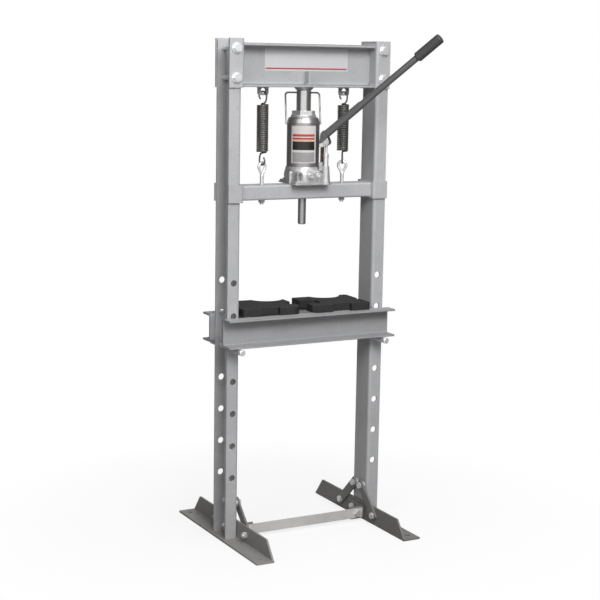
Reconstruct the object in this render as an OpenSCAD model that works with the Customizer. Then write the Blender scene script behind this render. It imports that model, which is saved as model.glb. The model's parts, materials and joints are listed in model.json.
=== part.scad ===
// H-frame shop press with a bottle jack, a spring-returned ram beam and a height-adjustable bed.
// Origin: on the floor, in the middle of the four anchor holes. +Z up, +X right, the front is -Y.

/* [Frame] */
// Height of the whole press
total_h = 1302; // [1200:1:1450]
// Clear width between the two uprights
inner_w = 394; // [340:2:480]
// Depth of an upright's channel, front to back
upright_d = 75; // [70:1:90]
// Width of an upright's flanges
upright_flange = 35; // [32:1:45]
// Thickness of the upright channel
upright_t = 5; // [4:0.5:7]
// Spacing of the bed-pin holes
hole_pitch = 85.8; // [70:0.2:95]
// Height of the lowest bed-pin hole
first_hole_z = 168.8; // [140:0.2:200]
// Number of bed-pin holes in each flange
hole_count = 7; // [6:1:8]
// Distance from an upright's inner face to its row of holes
hole_gauge = 17; // [16:0.5:20]

/* [Feet] */
// Length of a foot, front to back
foot_len = 484; // [420:2:560]
// Leg width of the foot's angle iron
foot_leg = 50; // [45:1:60]
// Thickness of the foot's angle iron
foot_t = 5; // [4:0.5:7]
// How far the upstanding leg is cut back along the foot at each end
foot_cut = 38; // [20:1:50]
// Diameter of the floor anchor holes
anchor_d = 13; // [10:0.5:16]
// Distance of an anchor hole from the end of the foot
anchor_inset = 27; // [20:1:40]
// Width of the flat brace bars
brace_w = 25; // [20:1:32]
// Thickness of the flat brace bars
brace_t = 5; // [4:0.5:6]
// Height of the tie bar between the feet
tie_h = 26; // [20:1:30]

/* [Head] */
// Height of the head's H-section
head_h = 110; // [95:1:125]
// Flange width of the head's H-section
head_w = 74; // [66:1:90]
// Flange thickness of the head's H-section
head_flange_t = 7; // [5:0.5:9]
// Web thickness of the head's H-section
head_web_t = 6; // [5:0.5:8]
// How much taller the brackets at its ends are than the head
bracket_over = 13; // [8:1:20]
// Plate thickness of the brackets
bracket_t = 5; // [4:0.5:6]
// Spacing of the two bolts in each bracket
head_bolt_pitch = 74; // [60:1:80]

/* [Ram beam] */
// Height of the ram beam's box tube
beam_h = 38; // [32:1:50]
// Depth of the ram beam's box tube
beam_d = 60; // [50:1:70]
// Wall of the ram beam's box tube
beam_t = 4; // [3:0.5:6]
// Height of the guide sleeves
sleeve_h = 46; // [40:1:60]
// Plate thickness of the guide sleeves
sleeve_t = 5; // [4:0.5:6]
// Diameter of the press pin
press_pin_d = 21; // [18:0.5:24]
// Length of the press pin below the ram beam
press_pin_len = 69; // [50:1:80]

/* [Springs] */
// Distance of each return spring from the middle of the press
spring_x = 119; // [112:1:130]
// Outer diameter of the springs
spring_d = 31; // [28:0.5:34]
// Wire diameter of the springs
spring_wire = 4.4; // [3.6:0.1:5]
// Length of each drawn-out hook beyond the coils
hook_len = 34; // [30:1:40]

/* [Bottle jack] */
// Diameter of the jack's oil tank
tank_d = 85; // [80:1:90]
// Height of the jack's cast base
base_h = 45; // [40:1:50]
// Height of the oil tank above the base
tank_h = 127; // [120:1:150]
// Diameter of the jack's ram
ram_d = 38; // [36:0.5:44]
// How far the ram stands out with the springs closed
ram_out = 51; // [45:1:70]
// Angle of the pump round the jack, from +X
pump_az = -48; // [-56:1:-40]
// Distance of the pump plunger from the wall of the oil tank
pump_out = 21.5; // [20.5:0.5:26]
// Angle of the pump lever above level
lever_angle = 40; // [34:1:44]
// Length of the pump lever outside its socket
lever_len = 387; // [300:1:450]
// Length of the lever's thicker lower tube outside the socket
lever_lower_len = 121; // [80:1:160]
// Length of the rubber grip
grip_len = 78; // [60:1:110]

/* [Bed] */
// How far the bed's two channels run past the inner faces of the uprights
bed_past = 49; // [30:1:80]
// Height of the bed's channels
bed_h = 74; // [60:1:80]
// Flange width of the bed's channels
bed_flange = 43; // [36:1:50]
// Thickness of the bed's channels
bed_t = 5; // [4:0.5:7]
// Hole that the bed pins are in, counted from 0 at the bottom
bed_hole = 4; // [3:1:4]
// Diameter of the bed pins
bed_pin_d = 16; // [14:0.5:20]
// How much wider the pin holes are than the pins
pin_play = 1; // [0.6:0.1:2]
// How far a bed pin stands out beyond the bed's flanges at each end
bed_pin_out = 12.9; // [5:0.1:30]
// Width of an arbor plate
plate_w = 168; // [140:1:170]
// Depth of an arbor plate
plate_d = 142; // [130:1:150]
// Thickness of an arbor plate
plate_t = 20; // [12:1:25]

/* [Hidden] */
$fn = 48;
slide_gap = 1;          // gap of the ram beam's sleeves on the uprights
bed_gap = 0.6;          // gap of the bed's channels on the uprights
seat_gap = 0.3;         // gap where one moving piece rests on another
run_gap = 0.06;         // radial gap of a running fit
eps = 0.01;

hole_d = bed_pin_d + pin_play;            // bed-pin holes of the uprights
x_in = inner_w / 2;                       // inner face of an upright's web
x_hole = x_in + hole_gauge;               // row of bed-pin holes
y_up = upright_d / 2;                     // outer faces of an upright's flanges
bracket_out = upright_flange + 2;         // reach of the bracket and sleeve plates past the web

bracket_h = head_h + bracket_over;
head_under = total_h - bracket_h + 2;     // underside of the head beam
head_bolt_z = total_h - bracket_h / 2;    // middle of each pair of head bolts
m12 = 12;
m12_af = 19;
m12_head = 7.5;
m10 = 10;
m10_af = 16;
m10_head = 6.4;
washer_t = 2.5;
washer_d = 28;

collar_h = 7;                             // rounded collar on top of the tank
gland_h = 10;                             // hexagonal gland nut
saddle_h = 9;
jack_h = base_h + tank_h + collar_h + gland_h + ram_out + saddle_h;
beam_top = head_under - seat_gap - jack_h;
beam_bottom = beam_top - beam_h;
beam_x = x_in - slide_gap - sleeve_t;     // inner faces of the sleeves, ends of the ram beam

tab_w = 30;                               // spring tabs under the head
tab_h = 21;
tab_t = 5;
tab_hole_r = 7;
tab_hole_drop = 9;
eye_rise = 45.5;                            // eye-bolt ring centre above the ram beam
eye_ring_r = 10.5;
eye_wire_r = 3.5;
eye_shank_d = 10;
spring_hook_gap = 2.5;
spring_top = head_under - tab_hole_drop - tab_hole_r + spring_wire / 2 + spring_hook_gap;
spring_bottom = beam_top + eye_rise + eye_ring_r - eye_wire_r - spring_wire / 2 - seat_gap;
coil_r = (spring_d - spring_wire) / 2;
coil_pitch = spring_wire * 1.045;
hook_r = 10.4;
hook_lead = 60;                           // how far the wire winds in before it crosses to the hook

tank_r = tank_d / 2;
tank_wall = 3;
ram_r = ram_d / 2;
ram_len = 150;
cylinder_r = ram_r + 8;                   // pressure cylinder inside the tank
collar_r = ram_r + 14;
pump_r = tank_r + pump_out;               // pump plunger
pump_cylinder_r = 6.8;
fulcrum_r = pump_r - 10.5;                // link pin, on the tank side of the plunger
fulcrum_z = 102;
link_w = 6.4;
plunger_pin_z = fulcrum_z + 4.9;
cheek_in = 6.6;                           // half the gap between the socket's cheeks
cheek_t = 3.8;
mouth_r = pump_r + 0.2;                   // mouth of the handle socket
mouth_z = fulcrum_z + 28.5;
lower_tube_d = 20;
upper_tube_d = 17;
grip_d = 26;
bail_drop = 17;                           // bail's pivots below the top of the tank
bail_z = base_h + tank_h - bail_drop;
bail_wire = 4.6;
bail_x = tank_r + bail_wire / 2 + seat_gap;
bail_h = bail_drop + collar_h + gland_h + ram_out - 2;
bail_az = -18;                            // the bail's pivots are not square to the base
bail_lean = asin((ram_r + bail_wire / 2 + seat_gap) / bail_h);

bed_len = 2 * (x_in + bed_past);
bed_pin_z = first_hole_z + bed_hole * hole_pitch - pin_play / 2 + seat_gap;
bed_bottom = bed_pin_z + bed_pin_d / 2 + seat_gap;
bed_top = bed_bottom + bed_h;
bed_web_y = y_up + bed_gap;               // inner faces of the bed's webs
bed_pin_len = 2 * (bed_web_y + bed_flange + bed_pin_out);
brace_x = x_in - foot_t;                  // inner face of a foot's upstanding leg
brace_foot = [88, 27];                    // brace bolt on the foot: distance from the middle, height
brace_top = [18, 94];                     // brace bolt on the upright
foot_bolt = [21.5, 24];                   // bolts that join foot and upright
clip_y = -35;                             // front end of a tie clip
clip_tab = 42;

// ---- Shared shapes ----

// Rectangle from x = 0 to w, centred on y, with its two corners at x = 0 rounded.
module half_rounded(w, h, r) {
    translate([r, -h / 2]) square([w - r, h]);
    translate([0, -h / 2 + r]) square([w, h - 2 * r]);
    for (s = [-1, 1]) translate([r, s * (h / 2 - r)]) circle(r);
}

// Bent channel: its web on x = 0 to t, its flanges reaching to x = flange.
module channel_2d(web, flange, t, bend = 3) {
    difference() {
        half_rounded(flange, web, t + bend);
        translate([t, 0]) half_rounded(flange, web - 2 * t, bend);
    }
}

// Angle iron with its heel at the origin and a fillet inside.
module angle_2d(leg, t, fillet = 2) {
    square([leg, t]);
    square([t, leg]);
    translate([t, t]) difference() {
        square(fillet);
        translate([fillet, fillet]) circle(fillet);
    }
}

// Rectangle with four rounded corners, centred.
module rounded_2d(w, h, r) {
    square([w - 2 * r, h], center = true);
    square([w, h - 2 * r], center = true);
    for (x = [-1, 1], y = [-1, 1]) translate([x * (w / 2 - r), y * (h / 2 - r)]) circle(r);
}

module mirrored(left) {
    mirror([left ? 1 : 0, 0, 0]) children();
}

// Bolt along +Z: the underside of its head is at z = 0.
module hex_bolt(d, af, head_h, length) {
    translate([0, 0, -head_h]) hex_prism(af, head_h);
    cylinder(d = d, h = length);
}

// Hexagonal prism with its corners turned off at one end.
module hex_prism(af, h) {
    corner = af / cos(30) / 2;
    intersection() {
        cylinder(r = corner, h = h, $fn = 6);
        cylinder(r1 = corner - 1.2, r2 = corner - 1.2 + h * 2, h = h);
    }
}

module hex_nut(d, af, h) {
    difference() {
        hex_prism(af, h);
        translate([0, 0, -1]) cylinder(d = d + 0.1, h = h + 2);
    }
}

// ---- Wire that follows a path of points ----

function unit(v) = v / norm(v);
function heading(p, i) = unit(p[min(i + 1, len(p) - 1)] - p[max(i - 1, 0)]);
function squared(n, t) = unit(n - (n * t) * t);

// One normal for each point, carried along the path so that the wire never twists.
function normals(p, first) =
    [for (i = 0, n = squared(first, heading(p, 0)); i < len(p);
        i = i + 1, n = i < len(p) ? squared(n, heading(p, i)) : n) n];

module wire(path, r, first = [0, 0, 1], sides = 6) {
    n = normals(path, first);
    last = (len(path) - 1) * sides;
    skin = [for (i = [0 : len(path) - 1]) let (t = heading(path, i), a = n[i], b = cross(t, a))
        for (k = [0 : sides - 1]) path[i] + r * (cos(360 * k / sides) * a + sin(360 * k / sides) * b)];
    walls = [for (i = [0 : len(path) - 2], k = [0 : sides - 1]) let (j = (k + 1) % sides)
        [i * sides + k, (i + 1) * sides + k, (i + 1) * sides + j, i * sides + j]];
    polyhedron(skin, concat([[for (k = [0 : sides - 1]) k]], walls,
        [[for (k = [sides - 1 : -1 : 0]) last + k]]), convexity = 10);
}

// Hook at one end of a spring: the wire winds in to the coil's axis, crosses it and turns over.
// Points are [across, sideways, up], from the coil outwards.
function hook_path() =
    let (rise = hook_len - hook_r, z1 = coil_pitch / 3 + 1.6)
    concat(
        [for (s = [0.125 : 0.125 : 0.875]) let (r = coil_r * cos(90 * s), a = hook_lead + (180 - hook_lead) * s)
            [r * cos(a), r * sin(a), coil_pitch / 3 * s + 1.6 * s * s]],
        [for (s = [0 : 0.25 : 0.75]) let (q = 1 - s)
            [3 * q * q * s * hook_r * 0.75 + (3 * q * s * s + s * s * s) * hook_r, 0,
            q * q * q * z1 + 3 * q * q * s * (z1 + 0.8) + 3 * q * s * s * (z1 + (rise - z1) * 0.4)
                + s * s * s * rise]],
        [for (a = [0 : 19.5 : 235]) [hook_r * cos(a), 0, rise + hook_r * sin(a)]]);

function turned(v, a) = [v[0] * cos(a) - v[1] * sin(a), v[0] * sin(a) + v[1] * cos(a), v[2]];

// ---- Uprights and feet ----

module upright(left) {
    color("silver") mirrored(left) difference() {
        translate([x_in, 0, foot_t]) linear_extrude(total_h - foot_t - 3)
            channel_2d(upright_d, upright_flange, upright_t);
        for (k = [0 : hole_count - 1]) translate([x_hole, 0, first_hole_z + k * hole_pitch])
            rotate([90, 0, 0]) cylinder(d = hole_d, h = upright_d + 2, center = true);
        head_bolt_holes(upright_d + 2);
        for (s = [-1, 1], p = [brace_top, foot_bolt]) translate([x_in + upright_t / 2, s * p[0], p[1]])
            rotate([0, 90, 0]) cylinder(d = m10 + 1, h = upright_t + 6, center = true);
        // Lower edge of the web, eased to clear the fillet of the foot
        translate([x_in, 0, foot_t]) rotate([0, 45, 0]) cube([3.2, upright_d + 2, 3.2], center = true);
    }
}

module head_bolt_holes(length) {
    for (s = [-1, 1]) translate([x_hole, 0, head_bolt_z + s * head_bolt_pitch / 2])
        rotate([90, 0, 0]) cylinder(d = m12 + 1, h = length, center = true);
}

module foot(left) {
    color("darkgray") mirrored(left) difference() {
        translate([brace_x, foot_len / 2, 0]) rotate([90, 0, 0])
            linear_extrude(foot_len) angle_2d(foot_leg, foot_t);
        for (s = [0, 1]) mirror([0, s, 0]) translate([brace_x - 1, 0, 0]) rotate([90, 0, 90])
            linear_extrude(foot_t + 6) polygon([[foot_len / 2 + 1, foot_t], [foot_len / 2 - 2, foot_t],
                [foot_len / 2 - foot_cut, foot_leg], [foot_len / 2 - foot_cut, foot_leg + 1],
                [foot_len / 2 + 1, foot_leg + 1]]);
        for (s = [-1, 1]) {
            translate([brace_x + foot_leg * 0.56, s * (foot_len / 2 - anchor_inset), -1])
                cylinder(d = anchor_d, h = foot_t + 2);
            for (p = [brace_foot, foot_bolt]) translate([brace_x - 1, s * p[0], p[1]])
                rotate([0, 90, 0]) cylinder(d = m10 + 1, h = foot_t + 2);
        }
    }
}

// Flat bar that props the upright on the foot; side is -1 for the front one and 1 for the rear one.
module brace(left, side) {
    run = brace_foot - brace_top;
    color("gray") mirrored(left) difference() {
        translate([brace_x - brace_t, side * (brace_foot[0] + brace_top[0]) / 2,
            (brace_foot[1] + brace_top[1]) / 2]) rotate([side * atan2(run[1], run[0]), 0, 0])
            rotate([90, 0, 90]) linear_extrude(brace_t) rounded_2d(norm(run) + brace_w, brace_w, 4);
        for (p = [brace_foot, brace_top]) translate([brace_x - brace_t - 1, side * p[0], p[1]])
            rotate([0, 90, 0]) cylinder(d = m10 + 1, h = brace_t + 2);
    }
}

// The braces lie on the feet, so a thick washer fills the gap behind each upper bolt.
module brace_spacers() {
    color("gainsboro") for (left = [false, true], s = [-1, 1]) mirrored(left)
        translate([brace_x, s * brace_top[0], brace_top[1]]) rotate([0, 90, 0]) difference() {
            cylinder(d = 22, h = foot_t);
            translate([0, 0, -1]) cylinder(d = m10 + 1, h = foot_t + 2);
        }
}

// Bolts of the base run outwards through the joint, with their heads on the inside.
// Each entry is [distance from the middle, height, inner face].
function base_bolt_places() = [for (s = [-1, 1])
    each [[s * brace_top[0], brace_top[1], brace_x - brace_t], [s * brace_foot[0], brace_foot[1],
        brace_x - brace_t], [s * foot_bolt[0], foot_bolt[1], brace_x - brace_t]]];

module base_bolts() {
    color("white") {
        for (left = [false, true], p = base_bolt_places()) mirrored(left)
            translate([p[2], p[0], p[1]]) rotate([0, 90, 0]) hex_bolt(m10, m10_af, m10_head, bolt_reach(p));
        for (left = [false, true]) mirrored(left)
            translate([tie_bolt_x, clip_y - brace_t, tie_z]) rotate([-90, 0, 0])
                hex_bolt(m10, m10_af, m10_head, 2 * brace_t + 12);
    }
}

// A brace's lower bolt holds two thicknesses, the others also hold the upright.
function bolt_grip(p) = brace_t + foot_t + (abs(p[0]) < y_up ? upright_t : 0);
function bolt_reach(p) = bolt_grip(p) + 12;

module base_nuts() {
    color("white") {
        for (left = [false, true], p = base_bolt_places()) mirrored(left)
            translate([p[2] + bolt_grip(p) + 8, p[0], p[1]]) rotate([0, -90, 0]) hex_nut(m10, m10_af, 8);
        for (left = [false, true]) mirrored(left)
            translate([tie_bolt_x, clip_y + brace_t + 8, tie_z]) rotate([90, 0, 0])
                hex_nut(m10, m10_af, 8);
    }
}

tie_z = 23;                               // middle of the tie bar
tie_bolt_x = brace_x - brace_t - 20;

// Bent clip: one leg under the two bolts of the foot, the other standing out for the tie bar.
module tie_clip(left) {
    leg = 72;
    clip_h = 34;
    color("gray") mirrored(left) difference() {
        union() {
            translate([brace_x - brace_t, clip_y, tie_z - clip_h / 2]) cube([brace_t, leg, clip_h]);
            translate([brace_x - clip_tab, clip_y, tie_z - clip_h / 2]) cube([clip_tab, brace_t, clip_h]);
        }
        for (s = [-1, 1]) translate([brace_x - brace_t - 1, s * foot_bolt[0], foot_bolt[1]])
            rotate([0, 90, 0]) cylinder(d = m10 + 1, h = brace_t + 2);
        translate([tie_bolt_x, clip_y - 1, tie_z]) rotate([-90, 0, 0])
            cylinder(d = m10 + 1, h = brace_t + 2);
    }
}

module tie_bar() {
    half = brace_x - brace_t - 3;
    color("lightgray") difference() {
        translate([0, clip_y, tie_z]) rotate([90, 0, 0]) linear_extrude(brace_t)
            rounded_2d(2 * half, tie_h, 1);
        for (s = [-1, 1]) translate([s * tie_bolt_x, clip_y + 1, tie_z]) rotate([90, 0, 0])
            cylinder(d = m10 + 1, h = brace_t + 2);
    }
}

// ---- Head ----

module head_beam() {
    half = x_in - bracket_t;
    color("silver") translate([-half, 0, head_under]) rotate([90, 0, 90]) linear_extrude(2 * half) {
        for (z = [0, head_h - head_flange_t]) translate([-head_w / 2, z]) square([head_w, head_flange_t]);
        translate([-head_web_t / 2, 0]) square([head_web_t, head_h]);
        // Root fillets of the rolled section
        for (x = [0, 1], z = [0, 1]) translate([0, z * head_h]) mirror([x, 0]) mirror([0, z])
            translate([head_web_t / 2, head_flange_t]) difference() {
                square(6);
                translate([6, 6]) circle(6);
            }
    }
}

// Small stiffeners above the jack, one on each side of the web.
module head_ribs() {
    reach = head_w / 2 - head_web_t / 2 - 7;
    color("silver") for (s = [0, 1]) mirror([0, s, 0])
        translate([-2.5, head_web_t / 2, head_under + head_flange_t]) rotate([90, 0, 90]) linear_extrude(5)
            polygon([[7, 0], [reach, 0], [reach, 33], [reach - 1, 34], [0, 34], [0, 7]]);
}

// Bracket that wraps an upright's web and flanges.
module head_bracket(left) {
    web = upright_d + 2 * bracket_t + 0.4;
    color("silver") mirrored(left) difference() {
        translate([x_in - bracket_t, 0, total_h - bracket_h]) linear_extrude(bracket_h)
            channel_2d(web, bracket_out + bracket_t, bracket_t, 2);
        head_bolt_holes(web + 2);
    }
}

module spring_tab(left) {
    color("silver") mirrored(left) translate([spring_x, tab_t / 2, head_under - tab_h])
        rotate([90, 0, 0]) linear_extrude(tab_t) difference() {
            union() {
                translate([-tab_w / 2, 6]) square([tab_w, tab_h - 6]);
                translate([-tab_w / 2 + 6, 0]) square([tab_w - 12, tab_h]);
                for (x = [-1, 1]) translate([x * (tab_w / 2 - 6), 6]) circle(6);
            }
            translate([0, tab_h - tab_hole_drop]) circle(tab_hole_r);
        }
}

// Places of the four long head bolts, at the front face of the brackets.
module at_head_bolts() {
    for (x = [-1, 1], z = [-1, 1])
        translate([x * x_hole, 0, head_bolt_z + z * head_bolt_pitch / 2]) rotate([-90, 0, 0]) children();
}

bracket_face = y_up + bracket_t + 0.2;

module head_bolts() {
    color("white") at_head_bolts() translate([0, 0, -bracket_face - washer_t])
        hex_bolt(m12, m12_af, m12_head, 2 * (bracket_face + washer_t) + 14);
}

module head_washers() {
    color("gainsboro") at_head_bolts() for (z = [-bracket_face - washer_t, bracket_face])
        translate([0, 0, z]) difference() {
            cylinder(d = washer_d, h = washer_t);
            translate([0, 0, -1]) cylinder(d = m12 + 0.8, h = washer_t + 2);
        }
}

module head_nuts() {
    color("white") at_head_bolts() translate([0, 0, bracket_face + washer_t + 10])
        mirror([0, 0, 1]) hex_nut(m12, m12_af, 10);
}

// ---- Ram beam ----

module ram_beam() {
    color("silver") difference() {
        translate([-beam_x, 0, beam_bottom + beam_h / 2]) rotate([90, 0, 90])
            linear_extrude(2 * beam_x) difference() {
                rounded_2d(beam_d, beam_h, 5);
                rounded_2d(beam_d - 2 * beam_t, beam_h - 2 * beam_t, 2);
            }
        for (s = [-1, 1]) translate([s * spring_x, 0, beam_bottom - 1])
            cylinder(d = eye_shank_d + 1, h = beam_h + 2);
        translate([0, 0, beam_bottom - 1]) cylinder(d = press_pin_d - 2.6, h = beam_t + 2);
    }
}

module guide_sleeve(left) {
    color("silver") mirrored(left)
        translate([beam_x, 0, beam_bottom + (beam_h - sleeve_h) / 2]) linear_extrude(sleeve_h)
            channel_2d(upright_d + 2 * (slide_gap + sleeve_t), bracket_out + sleeve_t + slide_gap,
                sleeve_t, 2);
}

// The pin's shoulder seats under the tube; its thinner neck butts on the inside of the upper wall.
module press_pin() {
    color("gainsboro") translate([0, 0, beam_bottom]) rotate_extrude() polygon([
        [0, -press_pin_len], [press_pin_d / 2 - 2, -press_pin_len], [press_pin_d / 2, -press_pin_len + 2],
        [press_pin_d / 2, 0], [press_pin_d / 2 - 1.5, 0], [press_pin_d / 2 - 1.5, beam_h - beam_t],
        [0, beam_h - beam_t]]);
}

// Rod bent to a pear-shaped eye turned by ring_az, on a shank that goes down through the ram beam.
module eye_bolt(left, ring_az) {
    x = left ? -spring_x : spring_x;
    lean = 28;                            // the eye's two sides run in below this angle
    side = (eye_ring_r * cos(lean) - 1.5) / sin(lean);
    neck = eye_ring_r * sin(lean) + side * cos(lean);
    color("white") translate([x, 0, beam_top + eye_rise]) {
        rotate([90, 0, ring_az]) {
            rotate([0, 0, -lean]) rotate_extrude(angle = 180 + 2 * lean) translate([eye_ring_r, 0])
                circle(eye_wire_r);
            for (s = [0, 1]) mirror([s, 0, 0]) translate([eye_ring_r * cos(lean), -eye_ring_r * sin(lean), 0])
                rotate([0, 0, -lean]) rotate([90, 0, 0]) translate([0, 0, -1.2])
                    cylinder(r = eye_wire_r - 0.1, h = side + 1.2);
        }
        translate([0, 0, -neck - 1.5]) cylinder(r1 = eye_shank_d / 2, r2 = eye_wire_r - 0.3, h = 4);
        translate([0, 0, -eye_rise - beam_h - 13]) cylinder(d = eye_shank_d,
            h = eye_rise + beam_h + 13 - neck - 1.5);
    }
}

module eye_bolt_nuts() {
    color("white") for (s = [-1, 1]) translate([s * spring_x, 0, beam_bottom]) rotate([180, 0, 0])
        hex_nut(eye_shank_d, m10_af, 8);
}

// Close-wound extension spring with a drawn-out hook at each end.
module return_spring(left, top_az, bottom_az) {
    coil_top = spring_top - hook_len;
    coil_bottom = spring_bottom + hook_len;
    whole_turns = floor((coil_top - coil_bottom) / coil_pitch);
    start = bottom_az - hook_lead;
    sweep = 360 * whole_turns + top_az + hook_lead - start;
    steps = whole_turns * 10;
    coil = [for (i = [0 : steps]) let (a = start + sweep * i / steps)
        [coil_r * cos(a), coil_r * sin(a), coil_bottom + (coil_top - coil_bottom) * i / steps]];
    hook = hook_path();
    lower = [for (i = [len(hook) - 1 : -1 : 0]) let (h = turned([hook[i][0], -hook[i][1], hook[i][2]],
        bottom_az)) [h[0], h[1], coil_bottom - h[2]]];
    upper = [for (h0 = hook) let (h = turned(h0, top_az)) [h[0], h[1], coil_top + h[2]]];
    color("dimgray") translate([left ? -spring_x : spring_x, 0, 0])
        wire(concat(lower, coil, upper), spring_wire / 2, [1, 0, 0.2]);
}

// ---- Bottle jack, measured up from the ram beam ----

module on_beam() {
    translate([0, 0, beam_top]) children();
}

// Turns +X from the jack's axis towards its pump.
module at_pump(r = 0, z = 0) {
    on_beam() rotate([0, 0, pump_az]) translate([r, 0, z]) children();
}

base_x = [-tank_r - 7.5, tank_r + 10.5];
base_y = [-tank_r - 15.5, tank_r + 25.5];
valve_x = -6;
plug_x = 18;
valve_z = 24;
base_front = -base_y[0];
lip_h = 8;
boss_r = 11;
arch_x = -34;

base_taper = 14;                          // how much each side of the base draws in towards its rear

function base_outline(inset) = let (x0 = base_x[0] + inset, x1 = base_x[1] - inset,
    y0 = base_y[0] + inset, y1 = base_y[1] - inset)
    [[x0 + 3, y0], [x1 - 3, y0], [x1, y0 + 3], [x1, y0 + 20], [x1 - base_taper, y1 - 2],
        [x1 - base_taper - 2, y1], [x0 + base_taper + 2, y1], [x0 + base_taper, y1 - 2], [x0, y0 + 20],
        [x0, y0 + 3]];

// Lip of the base, with a lobe round the pump's boss.
module lip_2d(inset) {
    polygon(base_outline(inset));
    rotate(pump_az) translate([pump_r, 0]) circle(boss_r + 3.6 - inset);
}

module jack_base() {
    color("lightgray") difference() {
        union() {
            on_beam() {
                linear_extrude(3.6) lip_2d(0);
                linear_extrude(lip_h) lip_2d(2.2);
                hull() {
                    translate([0, 0, lip_h - eps]) linear_extrude(eps) polygon(base_outline(7));
                    translate([0, 0, base_h - 10]) cylinder(r = tank_r + 1.5, h = 10);
                }
                valve_pad();
                arch_rim(arch_x, 17, 35);
                flank_ribs();
            }
            at_pump(pump_r) cylinder(r1 = boss_r + 1.4, r2 = boss_r - 2, h = base_h + 3);
            link_lugs();
        }
        at_pump(pump_r, 14) cylinder(r = pump_cylinder_r + run_gap, h = base_h);
        at_pump(fulcrum_r, 38) translate([-link_w / 2 - 0.5, -cheek_in, 0])
            cube([link_w + 1, 2 * cheek_in, base_h]);
        at_pump(fulcrum_r, base_h + 7) rotate([90, 0, 0]) cylinder(d = 4, h = 30, center = true);
        on_beam() {
            translate([valve_x, -base_front - 1, valve_z]) rotate([-90, 0, 0])
                cylinder(d = 10 + 2 * run_gap, h = 30);
            translate([plug_x, -base_front - 1, valve_z]) rotate([-90, 0, 0]) cylinder(d = 10, h = 14);
            arch_pocket(arch_x, 9.5, 30.5);
            for (x = [-28, 28]) rotate([0, 0, 180]) arch_pocket(x, 14, 30);
        }
    }
}

// Raised pad round the valve and the plug on the front of the base, with a web down to the lip.
module valve_pad() {
    translate([0, -base_front + 2, 0]) rotate([-90, 0, 0]) linear_extrude(18) mirror([0, 1]) {
        translate([valve_x - 9, 2]) square([plug_x - valve_x + 18, valve_z - 2]);
        for (x = [valve_x, plug_x]) translate([x, valve_z]) circle(9);
        translate([valve_x, valve_z]) square([plug_x - valve_x, 7]);
    }
    translate([0, -base_front + 4, 0]) rotate([-90, 0, 0]) linear_extrude(16) mirror([0, 1])
        polygon([[plug_x + 7, 2], [plug_x + 26, 2], [plug_x + 26, lip_h], [plug_x + 8, 34], [plug_x + 7, 34]]);
}

// Rounded rib cast in the middle of each flank.
module flank_ribs() {
    for (x = [base_x[0] + 5, base_x[1] - 8]) translate([x, -17, 2]) {
        cylinder(r = 4.5, h = 28);
        translate([0, 0, 28]) sphere(4.5);
    }
}

// Pocket with an arched top in the front of the base, and the rim that stands out round it.
module arch_2d(w, bottom, top) {
    translate([-w / 2, bottom]) square([w, top - bottom - w / 2]);
    translate([0, top - w / 2]) circle(w / 2);
}

module arch_pocket(x, w, top) {
    translate([x, -base_front - 1, 0]) rotate([-90, 0, 0]) linear_extrude(20) mirror([0, 1])
        arch_2d(w, lip_h + 2, top);
}

module arch_rim(x, w, top) {
    translate([x, -base_front + 7.6, 0]) rotate([-90, 0, 0]) linear_extrude(22) mirror([0, 1])
        arch_2d(w, 2, top);
}

// Two ears that hold the foot of the link.
module link_lugs() {
    at_pump(fulcrum_r, 36) for (s = [-1, 1]) translate([-4.4, s * (cheek_in + 2) - 2, 0]) cube([8.8, 4, 22]);
}

module jack_tank() {
    z0 = base_h;
    top = base_h + tank_h;
    color("silver") difference() {
        on_beam() rotate_extrude() difference() {
            polygon([[cylinder_r + 0.1, z0], [tank_r, z0], [tank_r, top - 13], [tank_r - 1.5, top - 8],
                [tank_r - 3.5, top - 2], [tank_r - 5.5, top], [cylinder_r + 0.1, top]]);
            polygon([[cylinder_r + 3, z0 + 4], [tank_r - tank_wall, z0 + 4], [tank_r - tank_wall, top - 16],
                [tank_r - 6, top - 8], [cylinder_r + 3, top - 6]]);
        }
        on_beam() translate([0, 0, bail_z]) rotate([0, 90, bail_az])
            cylinder(d = bail_wire + 0.8, h = 2 * tank_r + 2, center = true);
        on_beam() translate([0, 0, base_h + tank_h - 30]) rotate([-90, 0, 30]) cylinder(d = 9, h = tank_r + 1);
    }
}

// Pressure cylinder inside the tank, bored for the ram.
module jack_cylinder() {
    color("gray") on_beam() difference() {
        translate([0, 0, base_h]) cylinder(r = cylinder_r, h = tank_h);
        translate([0, 0, base_h + 8]) cylinder(r = ram_r + run_gap, h = tank_h);
    }
}

// Hexagonal gland nut on its rounded collar.
module jack_gland_nut() {
    color("lightgray") on_beam() translate([0, 0, base_h + tank_h]) difference() {
        union() {
            rotate_extrude() polygon(concat([[0, 0], [collar_r, 0]],
                [for (a = [0 : 15 : 90]) [collar_r - 2.5 + 2.5 * cos(a), collar_h - 2.5 + 2.5 * sin(a)]],
                [[0, collar_h]]));
            translate([0, 0, collar_h - eps]) rotate([0, 0, -14])
                cylinder(r = (ram_d + 16) / cos(30) / 2, h = gland_h + eps, $fn = 6);
        }
        translate([0, 0, -1]) cylinder(r = ram_r + run_gap, h = collar_h + gland_h + 2);
    }
}

// Sealing plug beside the release valve, and the rubber filler plug on the back of the tank.
module jack_plugs() {
    color("white") on_beam() translate([plug_x, -base_front + 2, valve_z]) rotate([-90, 0, 0]) difference() {
        union() {
            translate([0, 0, -3]) cylinder(d = 13, h = 3);
            cylinder(d = 9.8, h = 10);
        }
        translate([0, 0, -4]) cylinder(d = 6, h = 6, $fn = 6);
    }
    color("black") on_beam() translate([0, 0, base_h + tank_h - 30]) rotate([-90, 0, 30])
        rotate_extrude() polygon([[0, tank_r - 5], [4.4, tank_r - 5], [4.4, tank_r + 0.4], [7, tank_r + 0.4],
            [6, tank_r + 3.4], [0, tank_r + 3.4]]);
}

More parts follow.
